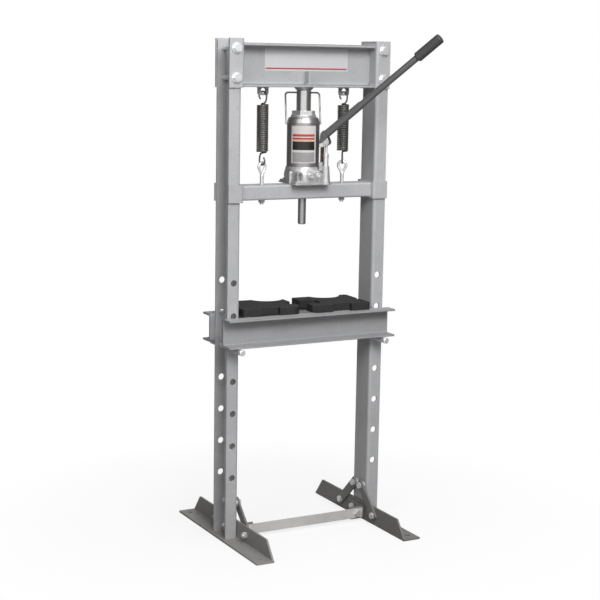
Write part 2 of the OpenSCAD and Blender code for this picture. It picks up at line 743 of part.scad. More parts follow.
module jack_ram() {
    color("gainsboro") on_beam() translate([0, 0, base_h + tank_h + collar_h + gland_h + ram_out - ram_len])
        difference() {
            cylinder(r = ram_r, h = ram_len);
            translate([0, 0, ram_len - 16]) cylinder(d = 24, h = 17);
        }
}

// Flared saddle, screwed into the ram, with a ring groove in its face.
module jack_saddle() {
    color("lightgray") on_beam() translate([0, 0, jack_h - saddle_h]) rotate_extrude() polygon([
        [0, -14], [10, -14], [12, -12], [12, 0], [ram_r - 0.6, 0], [ram_r - 0.6, 1.5], [ram_r + 1.2, 2.2],
        [ram_r + 5.5, saddle_h - 1.6], [ram_r + 6, saddle_h], [15, saddle_h], [14, saddle_h - 1.5],
        [0, saddle_h - 1.5]]);
}

module pump_cylinder() {
    color("white") at_pump(pump_r, 14) difference() {
        rotate_extrude() polygon([[0, 0], [pump_cylinder_r, 0], [pump_cylinder_r, 55],
            [pump_cylinder_r + 0.4, 56], [pump_cylinder_r + 0.4, 65], [pump_cylinder_r - 1.4, 67], [0, 67]]);
        translate([0, 0, 6]) cylinder(r = 3.5 + run_gap, h = 70);
    }
}

// Link that carries the handle socket, pinned between the lugs of the base.
module pump_link() {
    color("saddlebrown") at_pump(fulcrum_r) rotate([90, 0, 0])
        linear_extrude(2 * cheek_in - 0.8, center = true) difference() {
            union() {
                translate([-link_w / 2, base_h + 7]) square([link_w, fulcrum_z - base_h - 7]);
                translate([0, base_h + 7]) circle(d = link_w);
                translate([0, fulcrum_z]) circle(4.8);
            }
            translate([0, base_h + 7]) circle(d = 4);
            translate([0, fulcrum_z]) circle(d = 6);
        }
}

module pump_link_pins() {
    color("white") {
        at_pump(fulcrum_r, base_h + 7) rotate([90, 0, 0]) cylinder(d = 4, h = 24, center = true);
        at_pump(fulcrum_r, fulcrum_z) rotate([90, 0, 0]) {
            cylinder(d = 6, h = 24, center = true);
            translate([0, 0, cheek_in + cheek_t + 0.4]) cylinder(d = 9, h = 1.6);
        }
    }
}

// Plunger rod with the round head that the socket's cheeks straddle.
module pump_plunger() {
    color("gainsboro") difference() {
        at_pump(pump_r) rotate_extrude() polygon([[0, 46], [3.5, 46], [3.5, plunger_pin_z - 10],
            [5, plunger_pin_z - 8.5], [5, plunger_pin_z + 4], [3.5, plunger_pin_z + 6], [0, plunger_pin_z + 6]]);
        at_pump(pump_r, plunger_pin_z) rotate([90, 0, 0]) cylinder(d = 5.1, h = 20, center = true);
    }
}

module plunger_pin() {
    color("white") at_pump(pump_r, plunger_pin_z) rotate([90, 0, 0]) cylinder(d = 5, h = 24, center = true);
}

// ---- Pump lever ----

// Local +Z runs outwards along the lever, from the mouth of the socket.
module on_lever(start = 0) {
    at_pump(mouth_r, mouth_z) rotate([0, 90 - lever_angle, 0]) translate([0, 0, start]) children();
}

socket_back = 9;
socket_r = 12.3;

module handle_socket() {
    arm = atan2(plunger_pin_z - fulcrum_z, pump_r - fulcrum_r);
    reach = norm([pump_r - fulcrum_r, plunger_pin_z - fulcrum_z]) - 0.55;
    color("dimgray") difference() {
        union() {
            on_lever(-socket_back) cylinder(r = socket_r, h = socket_back);
            for (s = [-1, 1]) at_pump(0, 0) translate([0, s * (cheek_in + cheek_t / 2), 0])
                rotate([90, 0, 0]) linear_extrude(cheek_t, center = true) cheek_2d();
        }
        on_lever(-socket_back + 2) cylinder(d = lower_tube_d + 0.1, h = socket_back);
        at_pump(fulcrum_r, fulcrum_z) rotate([90, 0, 0]) cylinder(d = 6 + 2 * run_gap, h = 30, center = true);
        // Slot for the plunger's pin
        at_pump(fulcrum_r, fulcrum_z) rotate([90, 0, 0]) linear_extrude(30, center = true) rotate(arm) {
            for (r = [reach - 0.7, reach + 0.7]) translate([r, 0]) circle(2.9);
            translate([reach - 0.7, -2.9]) square([1.4, 5.8]);
        }
    }
}

// Side view of a cheek: round both pins, then up to the socket tube.
module cheek_2d() {
    hull() {
        translate([fulcrum_r, fulcrum_z]) circle(6.2);
        translate([pump_r + 1.8, plunger_pin_z + 3]) circle(8.6);
        translate([mouth_r, mouth_z]) rotate(lever_angle) translate([-socket_back, -10])
            square([socket_back - 1, 20]);
    }
}

module lever_lower_tube() {
    color("dimgray") on_lever(-socket_back + 2 + eps) tube(lower_tube_d, upper_tube_d + 0.2,
        socket_back - 2 + lever_lower_len);
}

module lever_upper_tube() {
    start = lever_lower_len - 40;
    color("dimgray") on_lever(start) tube(upper_tube_d, upper_tube_d - 4, lever_len - 4 - start);
}

module tube(od, id, h) {
    difference() {
        cylinder(d = od, h = h);
        translate([0, 0, -1]) cylinder(d = id, h = h + 2);
    }
}

// Rubber sleeve closed at its outer end but for a vent hole.
module lever_grip() {
    color("black") on_lever(lever_len - grip_len) rotate_extrude() polygon(concat(
        [[upper_tube_d / 2, 0], [grip_d / 2 - 2, 0], [grip_d / 2, 2]],
        [for (a = [0 : 15 : 90]) [grip_d / 2 - 4 + 4 * cos(a), grip_len - 4 + 4 * sin(a)]],
        [[2.5, grip_len], [2.5, grip_len - 4], [upper_tube_d / 2, grip_len - 4]]));
}

// Valve spindle with a notched head that the lever's end turns.
module release_valve() {
    color("white") on_beam() translate([valve_x, -base_front + 2, valve_z]) rotate([-90, 0, 0]) difference() {
        union() {
            translate([0, 0, -9]) cylinder(d = 13, h = 9 - seat_gap);
            translate([0, 0, -1]) cylinder(d = 10, h = 24);
        }
        for (a = [0, 90]) rotate([0, 0, a]) translate([-8, -1.5, -10]) cube([16, 3, 4.5]);
    }
}

// Carrying bail: a wire bow hooked into the tank, leaning back on the ram.
module jack_bail() {
    bend = 7.5;
    foot_bend = 2.6;
    r = bail_wire / 2;
    color("gray") on_beam() translate([0, 0, bail_z]) rotate([0, 0, bail_az]) rotate([-bail_lean, 0, 0]) {
        for (s = [0, 1]) mirror([s, 0, 0]) {
            translate([tank_r - 2.4, 0, 0]) rotate([0, 90, 0])
                cylinder(r = r, h = bail_x - foot_bend - tank_r + 2.4);
            translate([bail_x - foot_bend, 0, foot_bend]) rotate([90, 0, 0])
                rotate([0, 0, -90]) rotate_extrude(angle = 90) translate([foot_bend, 0]) circle(r);
            translate([bail_x, 0, foot_bend]) cylinder(r = r, h = bail_h - bend - foot_bend);
            translate([bail_x - bend, 0, bail_h - bend]) rotate([90, 0, 0])
                rotate_extrude(angle = 90) translate([bend, 0]) circle(r);
        }
        translate([-bail_x + bend, 0, bail_h]) rotate([0, 90, 0]) cylinder(r = r, h = 2 * (bail_x - bend));
    }
}

// ---- Bed ----

module bed_channel(front) {
    color("silver") mirror([0, front ? 1 : 0, 0])
        translate([-bed_len / 2, bed_web_y, bed_bottom + bed_h / 2]) rotate([90, 0, 90])
            linear_extrude(bed_len) channel_2d(bed_h, bed_flange, bed_t);
}

// Plates between the two webs; they also keep the bed central between the uprights.
module bed_spacers() {
    spacer_t = 8;
    color("silver") for (s = [-1, 1])
        translate([s * (x_in - 2 - spacer_t / 2), 0, bed_bottom + bed_h / 2])
            cube([spacer_t, 2 * bed_web_y, bed_h - 14], center = true);
}

// Cast plate with a different notch in each side, centred on its own middle.
module arbor_plate_2d(bow_x, bow_r, front_x, front_w, side_w, side_depth) {
    difference() {
        rounded_2d(plate_w, plate_d, 7);
        translate([bow_x, plate_d / 2 + bow_r * 0.28]) circle(bow_r);
        translate([front_x, -plate_d / 2]) rounded_2d(front_w, 28, 5);
        translate([side_depth < 0 ? -plate_w / 2 : plate_w / 2, -6])
            rounded_2d(2 * abs(side_depth), side_w, 6);
        children();
    }
}

module left_arbor_plate() {
    color([0.24, 0.24, 0.26]) translate([-plate_w / 2 - 17, 22, bed_top]) rotate([0, 0, -3])
        linear_extrude(plate_t) arbor_plate_2d(44, 48, -6, 50, 34, 18) {
            translate([-plate_w / 2, 10]) rounded_2d(26, 24, 5);
            // Broad round at the corner beside the press pin
            translate([plate_w / 2 - 26, -plate_d / 2 - 1]) difference() {
                square([28, 28]);
                translate([0, 27]) circle(26);
            }
        }
}

module right_arbor_plate() {
    color([0.24, 0.24, 0.26]) translate([plate_w / 2 + 14, 11, bed_top]) rotate([0, 0, -2])
        linear_extrude(plate_t) arbor_plate_2d(17, 47, 0, 54, 40, -44) {
            translate([plate_w / 2, -2]) rounded_2d(20, 16, 3);
            translate([-plate_w / 2, -plate_d / 2]) rotate(45) square(18, center = true);
        }
}

// Bar with turned-down ends, lying in a hole of both flanges.
module bed_pin(left) {
    color("white") translate([left ? -x_hole : x_hole, 0, bed_pin_z]) rotate([90, 0, 0])
        rotate_extrude() polygon([[0, -bed_pin_len / 2], [bed_pin_d / 2 - 2.5, -bed_pin_len / 2],
            [bed_pin_d / 2, -bed_pin_len / 2 + 2.5], [bed_pin_d / 2, bed_pin_len / 2 - 2.5],
            [bed_pin_d / 2 - 2.5, bed_pin_len / 2], [0, bed_pin_len / 2]]);
}

foot(true);  // left_foot
foot(false);  // right_foot
upright(true);  // left_upright
upright(false);  // right_upright
head_beam();
head_ribs();
head_bracket(true);  // left_head_bracket
head_bracket(false);  // right_head_bracket
spring_tab(true);  // left_spring_tab
spring_tab(false);  // right_spring_tab
head_bolts();
head_washers();
head_nuts();
brace(true, -1);  // left_front_brace
brace(true, 1);  // left_rear_brace
brace(false, -1);  // right_front_brace
brace(false, 1);  // right_rear_brace
brace_spacers();
tie_clip(true);  // left_tie_clip
tie_clip(false);  // right_tie_clip
tie_bar();
base_bolts();
base_nuts();
ram_beam();
guide_sleeve(true);  // left_guide_sleeve
guide_sleeve(false);  // right_guide_sleeve
press_pin();
eye_bolt(true, 13);  // left_eye_bolt
eye_bolt(false, -28);  // right_eye_bolt
eye_bolt_nuts();
return_spring(true, -50, 103);  // left_spring
return_spring(false, -50, 62);  // right_spring
jack_base();
jack_tank();
jack_cylinder();
jack_gland_nut();
jack_plugs();
pump_cylinder();
pump_link();
pump_link_pins();
jack_ram();
jack_saddle();
pump_plunger();
plunger_pin();
handle_socket();
lever_lower_tube();
lever_upper_tube();
lever_grip();
release_valve();
jack_bail();
bed_channel(true);  // bed_front_channel
bed_channel(false);  // bed_rear_channel
bed_spacers();
left_arbor_plate();
right_arbor_plate();
bed_pin(true);  // left_bed_pin
bed_pin(false);  // right_bed_pin
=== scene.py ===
# %% [markdown]
# # Finishing an H-frame shop press
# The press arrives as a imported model, with every plate, bolt and tube in place. What is missing is all
# that a hand and an eye would notice: hammered paint, plated bolts, weld beads, threads, springs drawn
# from round wire, and the light of a plain studio. This script adds them one at a time. Each step says
# what the thing is on a real press, how it could be made, and why one way was picked.

# %% Load the press and take its size
import json
import math

import bmesh
import bpy
from mathutils import Matrix, Vector


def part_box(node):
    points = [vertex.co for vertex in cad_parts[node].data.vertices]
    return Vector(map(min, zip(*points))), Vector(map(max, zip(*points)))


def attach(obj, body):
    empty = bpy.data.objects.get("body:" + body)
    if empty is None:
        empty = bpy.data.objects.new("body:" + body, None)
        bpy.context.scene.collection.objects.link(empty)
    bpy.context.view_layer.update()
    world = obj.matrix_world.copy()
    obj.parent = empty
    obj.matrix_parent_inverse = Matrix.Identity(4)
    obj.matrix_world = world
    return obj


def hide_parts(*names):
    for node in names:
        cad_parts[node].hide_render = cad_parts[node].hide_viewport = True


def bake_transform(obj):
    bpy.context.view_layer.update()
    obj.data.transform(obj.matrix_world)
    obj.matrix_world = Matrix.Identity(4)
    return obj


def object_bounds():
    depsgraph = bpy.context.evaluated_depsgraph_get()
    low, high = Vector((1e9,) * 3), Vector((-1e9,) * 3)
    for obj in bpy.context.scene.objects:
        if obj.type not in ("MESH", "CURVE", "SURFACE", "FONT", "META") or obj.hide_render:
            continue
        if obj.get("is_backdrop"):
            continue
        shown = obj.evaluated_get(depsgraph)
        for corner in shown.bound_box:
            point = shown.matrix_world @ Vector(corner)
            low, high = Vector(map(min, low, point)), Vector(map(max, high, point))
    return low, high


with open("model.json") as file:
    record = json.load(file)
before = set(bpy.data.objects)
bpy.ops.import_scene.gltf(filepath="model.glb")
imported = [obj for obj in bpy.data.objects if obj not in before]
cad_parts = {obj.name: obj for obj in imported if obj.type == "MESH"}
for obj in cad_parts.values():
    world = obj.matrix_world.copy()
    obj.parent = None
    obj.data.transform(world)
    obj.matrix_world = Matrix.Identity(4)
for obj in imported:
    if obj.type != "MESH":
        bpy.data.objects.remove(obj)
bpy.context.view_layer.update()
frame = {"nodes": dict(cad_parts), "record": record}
nodes = frame["nodes"]
print("pieces of the packed press:", len(nodes))

# %% [markdown]
# ## The camera
# The press is seen a little from its left and from slightly above its middle, with a long lens that
# keeps the uprights nearly parallel. A camera can be aimed with a Track To constraint, but then its
# roll can't be set, so its three axes are written straight into a matrix: right, up and backwards.

# %% Aim the camera
camera_place = (-1.8011, -3.3388, 1.2424)
camera_right = Vector((0.88140, -0.47208, 0.01671))
camera_forward = Vector((0.46832, 0.86868, -0.16143))
camera_up = camera_right.cross(camera_forward).normalized()
camera_data = bpy.data.cameras.new("studio_camera")
camera_data.sensor_width = 36.0
camera_data.lens = 86.87
camera_data.clip_end = 60.0
camera = bpy.data.objects.new("studio_camera", camera_data)
bpy.context.scene.collection.objects.link(camera)
camera.matrix_world = Matrix.Translation(camera_place) @ Matrix(
    (camera_right, camera_up, -camera_forward)).transposed().to_4x4()
bpy.context.scene.camera = camera
print("camera looks along", [round(c, 3) for c in camera_forward])

# %% [markdown]
# ## Small helpers for node trees
# A node tree is only boxes and wires, and a few short helpers keep every tree below readable. The
# first ones add a node, fill its sockets and join sockets. The others each stand for one step that
# keeps coming back, such as a sum, a mix of colours or a stretch of noise. They take plain numbers or
# the outputs of other nodes alike.

# %% Helpers that build node trees
def add_node(tree, kind, **settings):
    node = tree.nodes.new(kind)
    for name, value in settings.items():
        setattr(node, name, value)
    return node


def fill(node, **values):
    for name, value in values.items():
        node.inputs[name.replace("_", " ")].default_value = value
    return node


def wire(tree, *pairs):
    """Joins each (output, input)."""
    for source, socket in pairs:
        tree.links.new(source, socket)


def feed(tree, socket, value):
    """Gives a socket a number, a colour or the output of another node."""
    if isinstance(value, bpy.types.NodeSocket):
        tree.links.new(value, socket)
    elif isinstance(value, tuple) and len(value) == 3 and len(socket.default_value) == 4:
        socket.default_value = (*value, 1.0)
    else:
        socket.default_value = value


def math_node(tree, operation, a, b=None, clamp=False):
    node = add_node(tree, "ShaderNodeMath", operation=operation, use_clamp=clamp)
    feed(tree, node.inputs[0], a)
    if b is not None:
        feed(tree, node.inputs[1], b)
    return node.outputs[0]


def weigh(tree, *terms):
    """The sum of value times weight over each (value, weight)."""
    total = None
    for value, weight in terms:
        part = value if weight == 1 else math_node(tree, "MULTIPLY", value, weight)
        total = part if total is None else math_node(tree, "ADD", total, part)
    return total


def mix_colour(tree, share, a, b):
    node = add_node(tree, "ShaderNodeMix", data_type="RGBA")
    colour_a, colour_b = 6, 7  # the mix node has its colour sockets after those for numbers and vectors
    for index, value in ((0, share), (colour_a, a), (colour_b, b)):
        feed(tree, node.inputs[index], value)
    return node.outputs[2]


def remap(tree, value, low, high, to_low=0.0, to_high=1.0):
    node = add_node(tree, "ShaderNodeMapRange", clamp=True)
    tree.links.new(value, node.inputs["Value"])
    fill(node, From_Min=low, From_Max=high, To_Min=to_low, To_Max=to_high)
    return node.outputs["Result"]


def noise(tree, where, scale, detail=2.0, roughness=0.5):
    node = fill(add_node(tree, "ShaderNodeTexNoise"), Detail=detail, Roughness=roughness)
    tree.links.new(where, node.inputs["Vector"])
    feed(tree, node.inputs["Scale"], scale)
    return node.outputs["Fac"]


def object_place(tree):
    return add_node(tree, "ShaderNodeTexCoord").outputs["Object"]


# %% [markdown]
# ## Patterns as groups
# Paint, plate and castings each get a pattern of their own, as a shader group. A group here holds no
# shader. It only hands out a colour, a roughness and a height, so one pattern can serve finishes of
# different gloss, and each finish sets the group's inputs to its own values.

# %% Helpers that open and close a pattern group
pattern_outputs = {"Base Color": "NodeSocketColor", "Roughness": "NodeSocketFloat",
                   "Bump Height": "NodeSocketFloat"}


def add_input(tree, label, default):
    """A named input of the kind that its default has."""
    kind = {int: "Int", float: "Float", 3: "Vector", 4: "Color"}[
        len(default) if isinstance(default, tuple) else type(default)]
    tree.interface.new_socket(name=label.replace("_", " "), in_out="INPUT",
                              socket_type="NodeSocket" + kind).default_value = default


def new_pattern(name, **inputs):
    tree = bpy.data.node_groups.new(name, "ShaderNodeTree")
    for label, default in inputs.items():
        add_input(tree, label, default)
    for label, kind in pattern_outputs.items():
        tree.interface.new_socket(name=label, in_out="OUTPUT", socket_type=kind)
    return tree, add_node(tree, "NodeGroupInput").outputs


def hand_out(tree, colour, roughness, height):
    """Wires a pattern's three results to the outputs of its group."""
    result = add_node(tree, "NodeGroupOutput")
    wire(tree, *zip((colour, roughness, height), (result.inputs[label] for label in pattern_outputs)))
    print(tree.name, "group has", len(tree.nodes), "nodes")


def grey(value, tint=(1.0, 1.0, 1.0)):
    return (value * tint[0], value * tint[1], value * tint[2], 1.0)


# %% [markdown]
# ## Hammered paint
# The frame is sprayed with hammer paint: a silicone in it makes the wet film crawl into shallow cells a
# millimetre or two wide, with aluminium flake gathered in each. The cells could be modelled, or be an
# image, but they are far too fine for geometry and an image would need unwrapping. A Voronoi pattern
# gives the cell walls, and noise breaks it up. The group also paints shade along edges, where rounded
# edges turn their undersides away from the light, so it takes in how near an edge is.

# %% The hammered paint group
hammered, given = new_pattern(
    "Hammered Paint", Paint=grey(0.36), Flake=grey(0.60), Cell_Scale=560.0, Cell_Contrast=0.75,
    Grime=0.18, Gloss=0.45, Near_Edge=0.0, Edge_Colour=grey(0.10))
grime_colour = (0.16, 0.15, 0.145)
place = object_place(hammered)
cells = add_node(hammered, "ShaderNodeTexVoronoi", feature="SMOOTH_F1")
fill(cells, Smoothness=0.6, Randomness=1.0)
wire(hammered, (place, cells.inputs["Vector"]), (given["Cell Scale"], cells.inputs["Scale"]))
cell_height = remap(hammered, cells.outputs["Distance"], 0.05, 0.75)
speckle = noise(hammered, place, 900.0, 3.0, 0.7)
flakes = weigh(hammered, (cell_height, 0.55), (remap(hammered, speckle, 0.35, 0.7), 0.45))
flake_share = math_node(hammered, "MULTIPLY", flakes, given["Cell Contrast"], clamp=True)
drift = remap(hammered, noise(hammered, place, 5.5, 3.0), 0.3, 0.7, 0.93, 1.05)
sprayed = add_node(hammered, "ShaderNodeVectorMath", operation="SCALE")
wire(hammered, (mix_colour(hammered, flake_share, given["Paint"], given["Flake"]), sprayed.inputs[0]),
     (drift, sprayed.inputs["Scale"]))
blotches = remap(hammered, noise(hammered, place, 21.0, 6.0, 0.62), 0.52, 0.74)
stain = math_node(hammered, "MULTIPLY", blotches, given["Grime"])
stained = mix_colour(hammered, stain, sprayed.outputs[0], grime_colour)
# Near an edge the colour is mixed towards the edge colour: painted shade.
hand_out(hammered, mix_colour(hammered, given["Near Edge"], stained, given["Edge Colour"]),
         weigh(hammered, (given["Gloss"], 1), (stain, 0.25), (speckle, 0.12)),
         weigh(hammered, (cell_height, 1), (speckle, 0.25)))

# %% [markdown]
# ## Bare and plated metal
# Bolts, pins and eye bolts are zinc-plated, the jack's ram is chromed, and the springs are black oiled
# wire. All of them show the same two things at different strengths: fine scratches that run one way, and
# a slow cloudiness where plating or oil lies thicker. One group covers them, with the direction of the
# scratches given as a stretch, because noise squeezed along one axis reads as drawn or turned metal.

# %% The worked metal group
worked, given = new_pattern(
    "Worked Metal", Metal=grey(0.7), Cloud=grey(0.5), Scratch_Stretch=(1.0, 1.0, 1.0),
    Scratch_Depth=0.4, Cloud_Amount=0.6, Polish=0.25)
place = object_place(worked)
stretched = add_node(worked, "ShaderNodeVectorMath", operation="MULTIPLY")
wire(worked, (place, stretched.inputs[0]), (given["Scratch Stretch"], stretched.inputs[1]))
scratches = noise(worked, stretched.outputs[0], 1500.0, 4.0, 0.65)
clouds = remap(worked, noise(worked, place, 55.0, 4.0, 0.6), 0.38, 0.66)
cloud_share = math_node(worked, "MULTIPLY", clouds, given["Cloud Amount"], clamp=True)
hand_out(worked, mix_colour(worked, cloud_share, given["Metal"], given["Cloud"]),
         weigh(worked, (given["Polish"], 1), (cloud_share, 0.22), (scratches, 0.12)),
         math_node(worked, "MULTIPLY", scratches, given["Scratch Depth"]))

# %% [markdown]
# ## Cast surfaces
# The jack's base and the arbor plates come out of sand. Sand leaves a pebbled skin with the odd pit, and
# paint fills some of it. The pattern is again noise, but in two sizes: grains under a millimetre and low
# swells several millimetres wide. Handling rubs the high spots lighter.

# %% The sand casting group
sand, given = new_pattern(
    "Sand Casting", Skin=grey(0.1), Rubbed=grey(0.2), Grain_Scale=800.0, Rubbed_Amount=0.6, Gloss=0.5)
place = object_place(sand)
grains = noise(sand, place, given["Grain Scale"], 3.0, 0.6)
swells = noise(sand, place, 110.0, 3.0, 0.5)
high_spots = remap(sand, weigh(sand, (grains, 1), (swells, 1)), 0.95, 1.25)
rubbed = math_node(sand, "MULTIPLY", high_spots, given["Rubbed Amount"], clamp=True)
hand_out(sand, mix_colour(sand, rubbed, given["Skin"], given["Rubbed"]),
         weigh(sand, (given["Gloss"], 1), (grains, 0.2)), weigh(sand, (grains, 1), (swells, 1.6)))

# %% [markdown]
# ## Turning groups into materials
# A material is then one group, one Bump node and one Principled shader. Sheet and bar that were sheared
# or sawn never have razor edges, and a sharp computer edge catches no light. Bevelling every edge in
# geometry would change the imported meshes, so the Bevel shader node rounds only the shading normal, by
# about a millimetre, and feeds the bump. A second Bevel node finds where to paint shade along edges:
# near an edge its normal turns away from that of the flat face, and the colour darkens there.

# %% Make one material from a pattern group
finishes = {}
on_the_flat, on_the_edge = 0.995, 0.86  # how well the two normals agree


def surface(name, group, metallic, relief, edge=0.0, thin_edge=0.0, coat=0.0, **values):
    """A finish. `relief` is the strength and the depth of its bump, `values` set the group's inputs."""
    material = finishes[name] = bpy.data.materials.new(name)
    material.use_nodes = True
    tree = material.node_tree
    shader = tree.nodes["Principled BSDF"]
    fill(shader, Metallic=metallic, Coat_Weight=coat, Coat_Roughness=0.1)
    pattern = fill(add_node(tree, "ShaderNodeGroup", node_tree=group), **values)
    bump = fill(add_node(tree, "ShaderNodeBump"), Strength=relief[0], Distance=relief[1])
    wire(tree, (pattern.outputs["Base Color"], shader.inputs["Base Color"]),
         (pattern.outputs["Roughness"], shader.inputs["Roughness"]),
         (pattern.outputs["Bump Height"], bump.inputs["Height"]),
         (bump.outputs["Normal"], shader.inputs["Normal"]))
    if edge:
        rounded = fill(add_node(tree, "ShaderNodeBevel", samples=4), Radius=edge)
        tree.links.new(rounded.outputs[0], bump.inputs["Normal"])
    # The second Bevel node darkens the colour near edges: painted shade on the undersides of rounded
    # edges.
    if thin_edge:
        turning = fill(add_node(tree, "ShaderNodeBevel", samples=6), Radius=thin_edge)
        flat = add_node(tree, "ShaderNodeNewGeometry").outputs["True Normal"]
        match = add_node(tree, "ShaderNodeVectorMath", operation="DOT_PRODUCT")
        wire(tree, (turning.outputs[0], match.inputs[0]), (flat, match.inputs[1]))
        near_edge = remap(tree, match.outputs["Value"], on_the_flat, on_the_edge)
        tree.links.new(near_edge, pattern.inputs["Near Edge"])


# %% [markdown]
# The frame's pieces share one silver paint, with the group's own cells, grime and gloss. Rolled beams
# have softer corners and painted shade along their edges. The bed's paint is darker, as painted shade for
# its web under the flanges. The feet and braces take a darker paint as painted shade, the left foot a
# less dark copy of it as painted light, and the tie bar is paler than the rest.
#
# The jack is smoother and far glossier. Its tank and gland nut are sprayed with a bright metallic paint
# that mirrors the room in soft stripes, so both are mostly metal to the shader. The lever's paint is a
# dark one of the same kind.

# %% Sprayed paints
plain, cool, warm = (1.0, 1.0, 1.0), (0.985, 0.99, 1.01), (1.03, 1.0, 0.97)
cut_edge, rolled_edge, jack_edge = 0.0009, 0.0030, 0.0006


def spray(name, paint, flake, tint=cool, metallic=0.10, relief=(0.35, 0.0003), edge=cut_edge, **more):
    surface(name, hammered, metallic, relief, edge,
            Paint=grey(paint, tint), Flake=grey(flake, tint), **more)


spray("frame_paint", 0.36, 0.60)
# Painted shade: the head and the bed darken near their edges, and the bed's paint is darker for the shade
# under its flanges.
spray("head_paint", 0.33, 0.57, edge=rolled_edge, thin_edge=0.0034, Edge_Colour=grey(0.055))
spray("bed_paint", 0.28, 0.51, edge=rolled_edge, thin_edge=0.0018, Edge_Colour=grey(0.055))
# Painted shade: the feet and braces take a darker paint, and the left foot a lighter copy of it as
# painted light.
spray("base_paint", 0.13, 0.27, warm, Grime=0.25)
spray("left_foot_paint", 0.20, 0.38, warm, Grime=0.25)
spray("tie_bar_paint", 0.50, 0.70, warm, 0.15, (0.30, 0.0003), 0.0007)
spray("jack_paint", 0.33, 0.46, plain, 0.85, (0.10, 0.0002), jack_edge, coat=0.15,
      Cell_Scale=900.0, Cell_Contrast=0.35, Grime=0.10, Gloss=0.30)
spray("gland_paint", 0.56, 0.72, plain, 0.65, (0.10, 0.0002), jack_edge, coat=0.2,
      Cell_Scale=900.0, Cell_Contrast=0.35, Grime=0.10, Gloss=0.24)
spray("lever_paint", 0.105, 0.18, cool, 0.40, (0.15, 0.0002), jack_edge,
      Cell_Scale=800.0, Cell_Contrast=0.5, Grime=0.10, Gloss=0.32)
print("paints:", ", ".join(finishes))

# %% [markdown]
# Castings, the dark forged link and the rubber grip all have a grainy skin. Metal comes next. Wire has
# no edge to round, so the springs and the bail do without the Bevel node. Scratches run along the ram,
# where its seal wipes it, and round the turned press pin.

# %% Castings, rubber and metal
surface("cast_plate", sand, 0.0, (0.6, 0.0006), 0.0012, Skin=grey(0.011, warm), Rubbed=grey(0.030, cool),
        Grain_Scale=420.0, Gloss=0.52)
surface("jack_casting", sand, 0.6, (0.45, 0.0006), 0.0012, coat=0.2, Skin=grey(0.50), Rubbed=grey(0.72),
        Grain_Scale=620.0, Gloss=0.28)
surface("link_steel", sand, 0.2, (0.35, 0.0004), 0.0006, Skin=(0.050, 0.022, 0.015, 1),
        Rubbed=(0.10, 0.060, 0.045, 1), Grain_Scale=700.0, Gloss=0.45)
surface("grip_rubber", sand, 0.0, (0.3, 0.0003), 0.0008, Skin=grey(0.042), Rubbed=grey(0.065),
        Grain_Scale=1400.0, Rubbed_Amount=0.5, Gloss=0.48)
surface("zinc_plated", worked, 0.65, (0.12, 0.0001), 0.0004, Metal=grey(0.82, cool),
        Cloud=grey(0.66, cool), Cloud_Amount=0.5, Polish=0.26)
surface("chromed_steel", worked, 1.0, (0.04, 0.0001), 0.0004, Metal=(0.78, 0.76, 0.75, 1),
        Cloud=(0.66, 0.64, 0.63, 1), Scratch_Stretch=(1.0, 1.0, 0.02), Scratch_Depth=0.3,
        Cloud_Amount=0.25, Polish=0.12)
surface("machined_steel", worked, 0.9, (0.2, 0.0001), 0.0005, Metal=grey(0.42, cool), Cloud=grey(0.28),
        Scratch_Stretch=(0.1, 0.1, 1.0), Scratch_Depth=0.8, Cloud_Amount=0.4, Polish=0.26)
surface("spring_steel", worked, 0.7, (0.15, 0.0001), Metal=grey(0.15, warm), Cloud=grey(0.08, warm),
        Polish=0.32)
surface("bail_wire", worked, 0.8, (0.12, 0.0001), Metal=grey(0.30, warm), Cloud=grey(0.16, warm),
        Polish=0.30)
print(len(finishes), "finishes in all")

# %% [markdown]
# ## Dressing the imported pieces
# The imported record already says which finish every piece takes, so nothing is listed twice here. The
# script walks through the record and puts the finish of that name in each piece's slot. A few pieces
# then get a closer match from the paints and metals above.

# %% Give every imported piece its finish
for part in frame["record"]["subparts"]:
    piece = nodes[part["node"]]
    finish = finishes[part["material_slot"]]
    if not piece.material_slots:
        piece.data.materials.append(finish)
    for material_slot in piece.material_slots:
        material_slot.material = finish
closer_match = {"head_beam": "head_paint", "bed_front_channel": "bed_paint",
                "bed_rear_channel": "bed_paint", "tie_bar": "tie_bar_paint",
                "press_pin": "machined_steel", "jack_gland_nut": "gland_paint"}
# These pieces take the darker paint: painted shade on the feet, braces and tie clips.
for side in ("left", "right"):
    for thinly_painted in ("foot", "front_brace", "rear_brace", "tie_clip"):
        closer_match[f"{side}_{thinly_painted}"] = "base_paint"
closer_match["left_foot"] = "left_foot_paint"
for name, finish in closer_match.items():
    nodes[name].material_slots[0].material = finishes[finish]

# %% [markdown]
# ## The bright jaw of the handle socket
# The socket is painted like the lever, but the outer face of its jaw shows as bright bare metal: partly
# a bare jaw, partly a painted highlight where that face catches the light. The patch belongs to one place
# on one piece, so it is not a matter of noise: the material measures how far a point lies to the side of
# the pump's plane and how far below the lever's axis, and shows the bright bare metal where both are far
# enough. Both directions come from the boxes of the pieces themselves.

# %% Paint the jaw bright: bare metal and a painted highlight
def box_middle(name):
    low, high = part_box(name)
    return Vector([(a + b) / 2 for a, b in zip(low, high)])


def distance_along(tree, origin, direction):
    """How far a shaded point lies from `origin` in one direction."""
    offset = add_node(tree, "ShaderNodeVectorMath", operation="SUBTRACT")
    along = add_node(tree, "ShaderNodeVectorMath", operation="DOT_PRODUCT")
    offset.inputs[1].default_value, along.inputs[1].default_value = origin, direction
    wire(tree, (object_place(tree), offset.inputs[0]), (offset.outputs[0], along.inputs[0]))
    return along.outputs["Value"]
